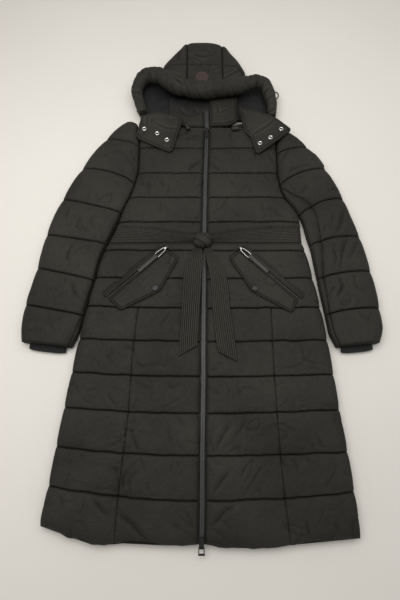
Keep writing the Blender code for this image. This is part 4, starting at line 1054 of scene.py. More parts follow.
    def skin(self, side: Side, panel: Panel) -> Skin:
        """Surface of one piece.

        Args:
            side: Side of the coat.
            panel: The piece.

        Returns:
            The surface, with its walls and its plain inner face.
        """
        quilt, sign = self.quilt, side.value
        channel, phase = quilt.rows(panel.first, panel.last, self.steps)
        centre, rise, edge, height = quilt.row_lines(side, channel, phase)
        near = panel.near(centre)
        far = edge if panel.far is None else panel.far(centre)
        width = np.abs(far - near)
        place = places_across(width, panel.near_rim.reach, panel.far_rim.reach, panel.columns)
        x = near[:, None] + sign * place
        zip_x = quilt.zip_line(centre)
        share = (x - zip_x[:, None]) / (edge - zip_x)[:, None]
        y = centre[:, None] + rise[:, None] * share ** 2 + quilt.shift(x, channel, phase)
        hem = panel.last == len(quilt.seams) - 1
        filling = quilt.puff(phase)
        if hem:
            below = channel == panel.last - 1
            filling = np.where(below & (phase > 0.5), 1.0, filling)
        rims = (panel.near_rim, self.rim_at(panel, centre))
        z = filled(width[:, None], place, filling[:, None], rims, quilt.seam_top, quilt.puff_top)
        z, seam, run = self.sewn(side, panel, x, y, z, channel, phase, height)
        if hem:
            z, y = self.hemmed(x, y, z, centre)
        if panel.first == self.skirt_seam:
            y[0] -= GAP
        else:
            x, y, z, seam, run = self.shouldered(side, x, y, z, seam, run, near)
        return self.closed(x, y, z, seam, run)

    def rim_at(self, panel: Panel, centre: Floats) -> Rim:
        """Outer rim of a piece, higher beside the sleeve's head."""
        if panel.far is not None:
            return panel.far_rim
        low, top = self.armhole_span
        high = climb(self.quilt.armhole_foot + low, self.quilt.armhole_foot + top, centre)[:, None]
        seam_top, puff_top = self.armhole_tops
        return Rim(mix(panel.far_rim.seam_top, seam_top, high), mix(panel.far_rim.puff_top, puff_top, high),
                   panel.far_rim.reach)

    def sewn(self, side: Side, panel: Panel, x: Floats, y: Floats, z: Floats, channel: Floats, phase: Floats,
             height: Floats) -> tuple[Floats, Floats, Floats]:
        """Add seams, puckers, creases and what presses on the cloth, and the shade painted into seams and
        creases.

        Args:
            side: Side of the coat.
            panel: The piece.
            x: Places across.
            y: Places up the coat.
            z: Heights of the smooth filling.
            channel: Channel of each row.
            phase: Phase of each row.
            height: Width of each row's channel.

        Returns:
            Heights, painted shade of seams and creases with painted highlight on crests, and length along the
            seams.
        """
        above, below = (phase * height)[:, None], ((1.0 - phase) * height)[:, None]
        hem = (channel == len(self.quilt.seams) - 2)[:, None]
        seat = 0.0 * z
        side_seed = self.side_seed * (side.value > 0)
        for distance, number in ((above, 2.0 * channel[:, None]), (below, 2.0 * channel[:, None] + 1.0)):
            live = np.where(hem & (distance is below), 0.0, 1.0)
            seat = seat + live * self.wrinkles.at_seam(distance, x, number + side_seed)
        nearest = np.minimum(above, np.where(hem, above, below))
        open_cloth = 1.0 - np.exp(-(nearest / self.open_reach) ** 2)
        seat = seat + open_cloth * self.wrinkles.across(x, y)
        # Painted shade in crease bottoms and seam puckers, and painted highlight on the crests.
        creases = open_cloth * self.wrinkles.shade(x, y)
        for distance, number in ((above, 2.0 * channel[:, None]), (below, 2.0 * channel[:, None] + 1.0)):
            creases = np.maximum(creases, self.wrinkles.ticks(distance, x, number + side_seed))
        if panel.far is not None or panel.near_rim is self.skirt_rim:
            line = self.left_skirt_seam if side is Side.LEFT else self.right_skirt_seam
            princess = np.abs(x - Curve(line)(y))
            seat = seat + 0.6 * self.wrinkles.at_seam(princess, y, 90.0 + side.value + panel.columns)
        z = z + seat
        for outline in (LEFT_POCKET_FLAP, RIGHT_POCKET_FLAP):
            beside = outline_distance(x, y, outline)
            z = z - self.sewn_depth * np.exp(-(beside / self.sewn_reach) ** 2)
            # Painted shadow along the pocket flap's outline.
            line = np.exp(-((beside - self.sewn_line[0]) / self.sewn_line[1]) ** 2)
            creases = np.maximum(creases, self.sewn_shade * line)
        ceiling = np.full(z.shape, self.ceiling)
        for press in self.presses:
            ceiling = np.minimum(ceiling, press.ceiling(x, y))
        z = soft_min(z, ceiling, 2.0)
        groove = np.exp(-(nearest / self.groove_width) ** 2) + 0.0 * z
        z = np.minimum(z - self.groove_depth * groove, ceiling)
        # Painted shade along the quilting seams.
        strength = 0.78 + 0.22 * self.wrinkles.noise(x / 15.0, channel[:, None] * 3.1)
        sewn = strength * np.exp(-(nearest / self.seam_shade) ** 2)
        return np.maximum(z, self.quilt.base + 0.4), sewn + creases * (1.0 - sewn), x + 0.0 * z

    def hemmed(self, x: Floats, y: Floats, z: Floats, centre: Floats) -> tuple[Floats, Floats]:
        """Round the hem off, and let it wave.

        Args:
            x: Places across.
            y: Places up the coat.
            z: Heights.
            centre: Height up the coat of each row at the zip.

        Returns:
            Heights and places up the coat.
        """
        last = self.quilt.seams[-1]
        left = (centre - last.y)[:, None] + 0.0 * x
        z = mix(self.quilt.base + 0.4, z, swell(left + 0.6, 24.0))
        wave = 2.2 * self.wrinkles.noise(x / 42.0, 3.3) + 1.0 * self.wrinkles.noise(x / 17.0, 8.1)
        return z, y + wave * np.exp(-(left / 30.0) ** 2)

    def shouldered(self, side: Side, x: Floats, y: Floats, z: Floats, seam: Floats, run: Floats,
                   near: Floats) -> tuple[Floats, Floats, Floats, Floats, Floats]:
        """Add rows above the topmost seam, up to the neckline and the shoulder."""
        line = Curve(self.left_shoulder if side is Side.LEFT else self.right_shoulder)
        place = np.abs(x[0] - near[0])
        top_y = line(place)
        shares = np.array([1.0, 0.75, 0.5, 0.25])[:, None]
        crown = 1.2 * np.sin(math.pi * shares)
        rows = mix(z[0], self.shoulder_top, shares) + crown
        # The top seam's painted shade fades out toward the shoulder.
        faded = seam[0] * np.array([0.0, 0.0, 0.1, 0.5])[:, None]
        return (np.vstack((x[:1] + 0.0 * rows, x)), np.vstack((mix(y[0], top_y, shares), y)),
                np.vstack((rows, z)), np.vstack((faded, seam)), np.vstack((run[:1] + 0.0 * rows, run)))

    def closed(self, x: Floats, y: Floats, z: Floats, seam: Floats, run: Floats) -> Skin:
        """Close the cloth with walls down to a plain inner face."""
        shares = np.linspace(1.0, 0.0, 6)
        picks = np.round(shares * (x.shape[1] - 1)).astype(int)
        under = np.stack((x[:, picks], y[:, picks], np.full((len(x), len(picks)), self.quilt.base)), axis=-1)
        rings = np.concatenate((np.stack((x, y, z), axis=-1), under), axis=1)
        pad = np.zeros((len(x), len(picks)))
        return Skin.through(rings, seam=np.hstack((seam, pad)), run=np.hstack((run, pad)))


@dataclass
class BackPanel:
    """The back: one padded panel, flat on the floor, its quilted side edges rounded."""

    quilt: Quilt
    top: float = 16.0
    steps: int = 16
    belt_gap: float = 3.3
    channel_length: float = 80.0
    seam_shade: float = 1.5
    profile: tuple[Place, ...] = ((0.0, 11.0), (2.0, 4.5), (5.0, 1.2), (9.0, 0.0), (13.0, 0.6), (16.0, 2.4))

    def build(self) -> None:
        """Build the back."""
        channel, phase = self.quilt.rows(0, len(self.quilt.seams) - 1, self.steps)
        wrinkles = Wrinkles(23)
        sides = []
        for side in Side:
            centre, rise, edge, height = self.quilt.row_lines(side, channel, phase)
            dip = 0.8 * np.exp(-(np.minimum(phase, 1 - phase) * height / 3.0) ** 2)
            points = []
            for up, inward in self.profile:
                pull = inward + dip * (0.3 + 0.7 * (0.0 < up < self.top))
                x = edge - side.value * pull + 0.8 * wrinkles.noise(centre / 14.0, up / 9.0)
                points.append(np.stack((x, centre + rise, np.full(len(x), up)), axis=-1))
            sides.append(np.stack(points, axis=1))
        left, right = sides
        shares = np.linspace(0.0, 1.0, 26)[1:-1]
        bottom = self.flat_rows(left[:, 0], right[:, 0], shares, channel, phase)
        top = self.flat_rows(right[:, -1], left[:, -1], shares, channel, phase)
        bottom[..., 2] = self.groove(phase)[:, None]
        rings = np.concatenate((left[:, ::-1], bottom, right, top), axis=1)
        belted = np.exp(-((rings[..., 1] - 1.5) / 24.0) ** 8)
        rings[..., 2] = np.maximum(rings[..., 2], self.belt_gap * (belted > 0.4))
        # Painted shade along the quilting seams.
        away = np.minimum(phase, 1 - phase) * self.channel_length
        seam = np.exp(-(away / self.seam_shade) ** 2)[:, None] + np.zeros(rings.shape[:2])
        skin = Skin.through(rings, seam=seam, run=rings[..., 0])
        dress(skin.build("back_cloth", Look.SHELL), Look.SHELL, ["back"], fill=0.4)

    def flat_rows(self, start: Floats, end: Floats, shares: Floats, channel: Floats, phase: Floats) -> Floats:
        """Rows of points between the two side edges, bowed as the seams are."""
        points = mix(start[:, None], end[:, None], shares[:, None])
        centre = self.quilt.row_lines(Side.LEFT, channel, phase)[0]
        bow = (2.0 * shares - 1.0) ** 2
        shift = self.quilt.shift(points[..., 0], channel, phase)
        points[..., 1] = mix(centre[:, None], points[..., 1], bow) + shift
        return points

    def groove(self, phase: Floats) -> Floats:
        """Height of the underside: it rests flat, with a shallow groove at each seam."""
        away = np.minimum(phase, 1.0 - phase) * self.channel_length
        return 1.1 * np.exp(-(away / 2.5) ** 2)


# Sleeves


class SleeveSection(NamedTuple):
    """A section across a sleeve, from its outer edge to its edge beside the body.

    Even rows are quilting seams, odd ones the middles of the channels between them.
    """

    outer_x: float
    outer_y: float
    inner_y: float
    clearance: float
    arch: float
    under_strip: float


LEFT_SLEEVE = (
    SleeveSection(-218, 371, 369, 0.7, 0, 0), SleeveSection(-246, 340, 328, 0.7, 0, 0),
    SleeveSection(-270, 308, 288, 0.7, 2, 0), SleeveSection(-302, 260, 228, 0.7, 6, 0),
    SleeveSection(-330, 206, 162, 0.7, 14, 0), SleeveSection(-352, 160, 112, 1.4, 8, 0),
    SleeveSection(-372, 110, 70, 2.6, 2, 2), SleeveSection(-389, 58, 24, 3.0, 0, 2),
    SleeveSection(-402, 4, -22, 3.0, 0, 2), SleeveSection(-408, -43, -72, 3.0, 0, 2),
    SleeveSection(-414, -90, -123, 3.0, 0, 2), SleeveSection(-421, -138, -169, 3.0, 0, 2),
    SleeveSection(-430, -188, -215, 3.4, 0, 3), SleeveSection(-431, -230, -252, 4.4, 0, 6),
    SleeveSection(-428, -279, -292, 14.0, 0, 7),
)
RIGHT_SLEEVE = (
    SleeveSection(250, 340, 342, 0.7, 0, 0), SleeveSection(284, 309, 302, 0.7, 0, 0),
    SleeveSection(307, 281, 262, 0.7, 2, 0), SleeveSection(332, 246, 212, 0.7, 6, 0),
    SleeveSection(351, 206, 158, 1.2, 14, 0), SleeveSection(370, 162, 116, 3.2, 16, 16),
    SleeveSection(388.5, 110, 66, 5.4, 14, 36), SleeveSection(401, 58, 24, 10.0, 12, 34),
    SleeveSection(418, -4, -24, 17.0, 9, 29), SleeveSection(426, -54, -70, 14.5, 6, 20),
    SleeveSection(433, -100, -119, 11.5, 6, 14), SleeveSection(438, -150, -167, 9.6, 5, 11),
    SleeveSection(441, -197, -213, 9.0, 5, 9), SleeveSection(441, -238, -252, 9.0, 2, 8),
    SleeveSection(431, -281, -291, 19.0, 0, 8),
)


@dataclass
class Sleeve:
    """One two-piece sleeve, with its knitted storm cuff."""

    side: Side
    quilt: Quilt
    table: tuple[SleeveSection, ...]
    folds: tuple[Fold, ...]
    steps: int = 32
    columns: int = 46
    under_top: float = 14.0
    seam_top: float = 33.4
    puff_top: float = 38.0
    rim: Rim = Rim(17.0, 20.5, 28.0)
    armhole_rim: Rim = Rim(19.0, 23.5, 38.0)
    underarm_rim: Rim = Rim(22.0, 28.0, 16.0)
    strip_least: float = 1.0
    strip_full: float = 4.0
    channel_length: float = 70.0
    open_reach: float = 9.0
    groove_depth: float = 4.6
    groove_width: float = 1.7
    seam_shade: float = 1.6
    side_bulge: float = 1.6
    edge: tuple[Place, ...] = (
        (2.0, 14.0), (0.6, 11.5), (0.0, 9.0), (0.8, 5.5), (3.0, 3.0), (6.5, 0.9), (11.0, 0.0))
    cuff_share: float = 0.37
    cuff_inner_share: float = 0.34
    cuff_height: float = 7.5
    cuff_half: float = 3.2
    cuff_inner_half: float = 0.8
    cuff_length: float = 16.0
    cuff_ribs: int = 46
    cuff_flat: Place = (0.205, 0.016)
    fields: dict[str, Curve] = field(init=False)

    def __post_init__(self) -> None:
        """Make a curve of each column of the table."""
        names = SleeveSection._fields
        self.fields = {name: Curve((index, getattr(row, name)) for index, row in enumerate(self.table))
                       for name in names}
        seed = 31 if self.side is Side.LEFT else 37
        self.wrinkles = Wrinkles(seed, self.folds, lump_depth=1.0, crease_depth=1.5)

    def rows(self, steps: int) -> tuple[Floats, Floats]:
        """Place along the table and phase of each row."""
        share = np.arange(steps) / steps
        phases = 0.55 * share + 0.45 * (0.5 - 0.5 * np.cos(math.pi * share))
        channels = (len(self.table) - 1) // 2
        seams = np.repeat(np.arange(channels), steps)
        phase = np.tile(phases, channels)
        place = 2.0 * (seams + phase)
        return np.append(place, len(self.table) - 1.0), np.append(phase, 1.0)

    def ends(self, place: Floats, phase: Floats) -> dict[str, Floats]:
        """Both ends, arch and strip of sections at places along the table."""
        got = {name: curve(place) for name, curve in self.fields.items()}
        bulge = self.side_bulge * (Quilt.puff(phase) - 0.5)
        got["outer_x"] = got["outer_x"] + self.side.value * bulge
        edge = self.quilt.edge(self.side, got["inner_y"])
        got["inner_x"] = edge + self.side.value * got["clearance"]
        return got

    @staticmethod
    def along(ends: dict[str, Floats], share: Floats) -> tuple[Floats, Floats]:
        """Points of sections a share of the way from the outer edge to the inner one."""
        columns = {name: value[:, None] if np.ndim(share) == 2 else value for name, value in ends.items()}
        x = mix(columns["outer_x"], columns["inner_x"], share)
        y = mix(columns["outer_y"], columns["inner_y"], share)
        return x, y + 4.0 * columns["arch"] * share * (1.0 - share)

    def build(self) -> None:
        """Build the sleeve's two pieces and its cuff."""
        place, phase = self.rows(self.steps)
        ends = self.ends(place, phase)
        width = np.hypot(ends["outer_x"] - ends["inner_x"], ends["outer_y"] - ends["inner_y"])
        word = self.side.word
        top, crest_heights = self.top_piece(place, phase, ends, width)
        item = top.build(word + "_sleeve_top_cloth", Look.SHELL)
        dress(item, Look.SHELL, [word + "_sleeve_top"], fill=0.6)
        under = self.under_piece(phase, ends, width, crest_heights)
        item = under.build(word + "_sleeve_under_cloth", Look.SHELL)
        dress(item, Look.SHELL, [word + "_sleeve_under"], fill=0.5)
        cuff = dress(self.cuff().build(word + "_cuff_knit", Look.KNIT), Look.KNIT, [word + "_cuff"])

    def top_piece(self, place: Floats, phase: Floats, ends: dict[str, Floats],
                  width: Floats) -> tuple[Skin, Floats]:
        """Surface of the top piece, and its height along its inner edge."""
        strip = np.maximum(ends["under_strip"], self.strip_least)
        join = width - strip - GAP
        at_armhole = (ends["under_strip"] <= 1.2)[:, None]
        inner_rim = Rim(*(np.where(at_armhole, high, low)
                          for high, low in zip(self.armhole_rim[:2], self.underarm_rim[:2])), 30.0)
        across = places_across(join, self.rim.reach, 30.0, self.columns)
        rise = Quilt.puff(phase)[:, None]
        z = filled(join[:, None], across, rise, (self.rim, inner_rim), self.seam_top, self.puff_top)
        x, y = self.along(ends, across / width[:, None])
        gap = self.channel_width(place)[:, None]
        above, below = phase[:, None] * gap, (1.0 - phase[:, None]) * gap
        number = np.floor(np.minimum(place, len(self.table) - 1.01) / 2.0)[:, None] * 2.0
        hem = place[:, None] > len(self.table) - 3.0
        relief = self.wrinkles.at_seam(above, across, number) + np.where(
            hem, 0.4, 1.0) * self.wrinkles.at_seam(below, across, number + 1.0)
        nearest = np.minimum(above, below)
        open_cloth = 1.0 - np.exp(-(nearest / self.open_reach) ** 2)
        relief = relief + open_cloth * self.wrinkles.across(x, y)
        # Painted shade in crease bottoms and seam puckers, and painted highlight on the crests.
        creases = np.maximum(self.wrinkles.ticks(above, across, number),
                             np.maximum(self.wrinkles.ticks(below, across, number + 1.0),
                                        open_cloth * self.wrinkles.shade(x, y)))
        hold = climb(0.0, 10.0, across) * climb(0.0, 10.0, join[:, None] - across)
        z = z + relief * hold
        z = soft_min(z, np.full(z.shape, 40.8), 2.0)
        z = z - self.groove_depth * np.exp(-(nearest / self.groove_width) ** 2) * climb(0.0, 8.0, across)
        z = np.maximum(z, self.under_top + GAP + 0.5)
        base = self.under_top + GAP
        shares = np.linspace(1.0, 0.0, 5)
        under_x, under_y = self.along(ends, shares[None, :] * (join / width)[:, None])
        under = np.stack((under_x, under_y, np.full(under_x.shape, base)), axis=-1)
        rings = np.concatenate((np.stack((x, y, z), axis=-1), under), axis=1)
        # Painted shade along the quilting seams.
        sewn = np.exp(-(nearest / self.seam_shade) ** 2)
        sewn = sewn + creases * (1.0 - sewn)
        seam = np.hstack((sewn, np.zeros(under_x.shape)))
        run = np.hstack((across, np.zeros(under_x.shape)))
        return Skin.through(rings, seam=seam, run=run), z[:, -1]

    def channel_width(self, place: Floats) -> Floats:
        """Width of the channel at places along the table."""
        seam = np.clip(np.floor(place / 2.0).astype(int), 0, (len(self.table) - 3) // 2) * 2
        rows = np.array(self.table, float)
        first, last = rows[seam], rows[seam + 2]
        outer = np.hypot(first[:, 0] - last[:, 0], first[:, 1] - last[:, 1])
        inner = np.abs(first[:, 2] - last[:, 2])
        return (outer + inner) / 2.0

    def under_piece(self, phase: Floats, ends: dict[str, Floats], width: Floats, join_top: Floats) -> Skin:
        """Surface of the under piece: on the floor, and up round the inner edge.

        Args:
            phase: Phase of each row.
            ends: Ends of each row's section.
            width: Width of each section.
            join_top: Height of the top piece's inner edge.

        Returns:
            The surface.
        """
        strip = np.maximum(ends["under_strip"], self.strip_least)
        lifted = climb(0.0, self.strip_full, ends["under_strip"])
        least = self.under_top + 0.8
        edge_top = np.maximum(mix(self.under_top, join_top, lifted), least)
        filled_top = mix(self.seam_top, self.puff_top - 6.0, Quilt.puff(phase))
        crest = np.maximum(mix(edge_top, filled_top, lifted / 2), least)
        side_top = mix(self.under_top + 0.5, edge_top - 4.0, lifted)
        start = width - strip
        points = []

        def add(distance: Value, height: Value) -> None:
            """Add a line of points at a distance from the outer edge."""
            x, y = self.along(ends, distance / width)
            points.append(np.stack((x, y, height + np.zeros(len(x))), axis=-1))

        away = np.minimum(phase, 1.0 - phase) * self.channel_length
        dip = 0.6 * np.exp(-(away / 3.0) ** 2)
        for inward, up in self.edge:
            add(inward + dip * (up > 0.0), up)
        for share in (0.2, 0.35, 0.5, 0.65, 0.8):
            add(width * share, 0.0)
        add(width - 11.0, 0.0)
        add(width - 6.0, 1.0)
        add(width - 2.0 - dip, 4.5)
        add(width - dip, mix(6.0, side_top - 1.0, 0.45))
        add(width - strip * 0.03 - dip, mix(6.0, side_top, 0.85))
        for share, lift in ((0.12, 0.45), (0.28, 0.85), (0.5, 1.0), (0.72, 0.82), (0.88, 0.4)):
            foot = side_top if share < 0.5 else edge_top
            add(width - strip * share, mix(foot, np.maximum(crest, foot), lift) - dip * lift)
        add(start, edge_top)
        for share in (1.0, 0.65, 0.35):
            add(np.minimum(width * share, start), self.under_top)
        rings = np.stack(points, axis=1)
        # Painted shade along the quilting seams.
        seam = np.exp(-(away / 1.5) ** 2)[:, None] + np.zeros(rings.shape[:2])
        return Skin.through(rings, seam=seam, run=rings[..., 0])

    def cuff(self) -> Skin:
        """Knitted tube that comes out of the hem, ribbed along its length."""
        last = np.array([len(self.table) - 1.0])
        ends = {name: value[-1] for name, value in self.ends(last, np.array([1.0])).items()}
        sides = self.cuff_ribs * 4
        turn = 2.0 * math.pi * np.arange(sides) / sides
        across, up = np.cos(turn), np.sin(turn)
        rib = 0.35 * np.cos(turn * self.cuff_ribs)
        outer = [(0.4, 1.0), (3.0, 1.0), (6.0, 1.0), (9.0, 1.02), (12.0, 1.0), (14.5, 1.04), (15.6, 1.0)]
        inner = [(self.cuff_length, 0.72), (15.0, 0.3), (12.0, 0.0), (6.0, 0.0), (0.4, 0.0)]
        loops = []
        for depth, grow in outer + inner:
            out = min(grow, 1.0)
            half = mix(self.cuff_inner_half, self.cuff_half, out) * max(grow, 1.0)
            share = mix(self.cuff_inner_share, self.cuff_share, out)
            place = 0.5 - (share + 0.002 * rib) * across
            x = mix(ends["outer_x"], ends["inner_x"], place)
            y = mix(ends["outer_y"], ends["inner_y"], place) + 4.0 * ends["arch"] * place * (1.0 - place)
            lift = np.sign(up) * np.abs(up) ** 0.5 * (half + rib * out)
            corner = 3.0 * across ** 4 * depth / self.cuff_length
            loops.append(np.stack((x, y - depth + corner, self.cuff_height + lift), axis=-1))
        return Skin.through(np.array(loops), closed=True)


# Pieces worked from a solid


def remeshed(node: str, voxel: float, passes: int) -> Skin:
    """Even, softened surface over a solid of the frame.

    Args:
        node: Name of the solid.
        voxel: Size of the surface's cells.
        passes: Rounds of smoothing.

    Returns:
        The surface.
    """
    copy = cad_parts[node].copy()
    copy.data = copy.data.copy()
    bpy.context.scene.collection.objects.link(copy)
    remesh = copy.modifiers.new("even", "REMESH")
    remesh.mode = "VOXEL"
    remesh.voxel_size = voxel * MM
    mesh = copy.evaluated_get(bpy.context.evaluated_depsgraph_get()).to_mesh()
    points = np.empty(len(mesh.vertices) * 3, np.float32)
    mesh.vertices.foreach_get("co", points)
    corners = np.empty(len(mesh.loops), np.int32)
    mesh.loops.foreach_get("vertex_index", corners)
    bpy.data.objects.remove(copy)
    skin = Skin(points.reshape(-1, 3).astype(float) / MM, [corners.reshape(-1, 4)])
    return softened(skin, passes)


def softened(skin: Skin, passes: int) -> Skin:
    """Smooth a surface of quads without shrinking it."""
    quads = skin.faces[0]
    pairs = np.vstack([quads[:, [i, (i + 1) % 4]] for i in range(4)])
    ways = np.vstack((pairs, pairs[:, ::-1]))
    count = np.bincount(ways[:, 0], minlength=len(skin.points))[:, None]
    points = skin.points
    for turn in range(passes * 2):
        total = np.stack([np.bincount(ways[:, 0], points[ways[:, 1], axis], len(points))
                          for axis in range(3)], -1)
        points = points + (0.55 if turn % 2 == 0 else -0.57) * (total / count - points)
    return Skin(points, skin.faces, skin.values)


def normals(skin: Skin) -> Floats:
    """Outward direction at each point of a surface of quads."""
    quads, points = skin.faces[0], skin.points
    across = points[quads[:, 2]] - points[quads[:, 0]]
    other = points[quads[:, 3]] - points[quads[:, 1]]
    flat = np.cross(across, other)
    total = np.stack([sum(np.bincount(quads[:, i], flat[:, axis], len(points)) for i in range(4))
                      for axis in range(3)], -1)
    sign = 1.0 if skin.volume() > 0.0 else -1.0
    return sign * total / np.maximum(np.linalg.norm(total, axis=1, keepdims=True), 1e-9)


@dataclass
class Pad:
    """A small padded piece on an outline, with rows of stitching along its edge."""

    node: str
    outline: tuple[Place, ...]
    seed: int
    voxel: float = 1.7
    stitches: tuple[float, ...] = (6.0,)
    stitch_depth: float = 0.9
    swell: float = 0.6
    folds: tuple[Fold, ...] = ()
    wrinkle: float = 0.5
    fill: float = 0.35
    lines: tuple[tuple[Place, ...], ...] = ()
    inside: Optional[Look] = None

    def build(self) -> bpy.types.Object:
        """Build the piece."""
        skin = remeshed(self.node, self.voxel, 3)
        points, out = skin.points, normals(skin)
        x, y = points[:, 0], points[:, 1]
        upper = climb(0.1, 0.6, out[:, 2])
        inward = -outline_distance(x, y, self.outline)
        share, _ = line_distance(x, y, list(self.outline) + list(self.outline[:1]))
        wrinkles = Wrinkles(self.seed, self.folds, crease_depth=0.7, lump_depth=0.8)
        lift = self.wrinkle * wrinkles.across(x, y) * climb(0.0, 8.0, inward)
        for size in (PuckerSize(6.0, 5.0, 0.5), PuckerSize(13.0, 10.0, 0.7)):
            bunch = wrinkles.noise(share * 420.0 / size.spacing, inward / 40.0)
            lift = lift + self.swell * size.depth * bunch * np.exp(-np.abs(inward - 4.0) / size.reach)
        lift = lift + self.swell * ease(climb(self.stitches[-1] if self.stitches else 0.0, 26.0, inward))
        # Painted shade along the stitching and in the creases, and painted highlight on the creases' crests,
        # on the upper faces only.
        seam = np.zeros(len(points))
        for row in self.stitches:
            away = np.abs(inward - row)
            lift = lift - self.stitch_depth * np.exp(-(away / 1.5) ** 2)
            seam = np.maximum(seam, np.exp(-(away / 1.15) ** 2))
        seam = seam + (1.0 - seam) * wrinkles.shade(x, y) * climb(0.0, 8.0, inward)
        for line in self.lines:
            _, away = line_distance(x, y, line)
            lift = lift - self.stitch_depth * np.exp(-(away / 1.4) ** 2)
            seam = np.maximum(seam, np.exp(-(away / 1.0) ** 2))
        skin.points = points + out * (lift * upper)[:, None]
        skin.values = {"seam": seam * upper, "run": share * 600.0}
        if self.inside is None:
            item = skin.build(self.node + "_cloth", Look.SHELL)
        else:
            item = skin.build(self.node + "_cloth", Look.SHELL, lining=(out[:, 2] > 0.3).astype(float),
                              inside=self.inside)
        return dress(item, Look.SHELL, [self.node], fill=self.fill)


# Hood


class RollPoint(NamedTuple):
    """A point of the hood's padded brim: its middle, its half width and half height."""

    x: float
    y: float
    z: float
    half_width: float
    half_height: float


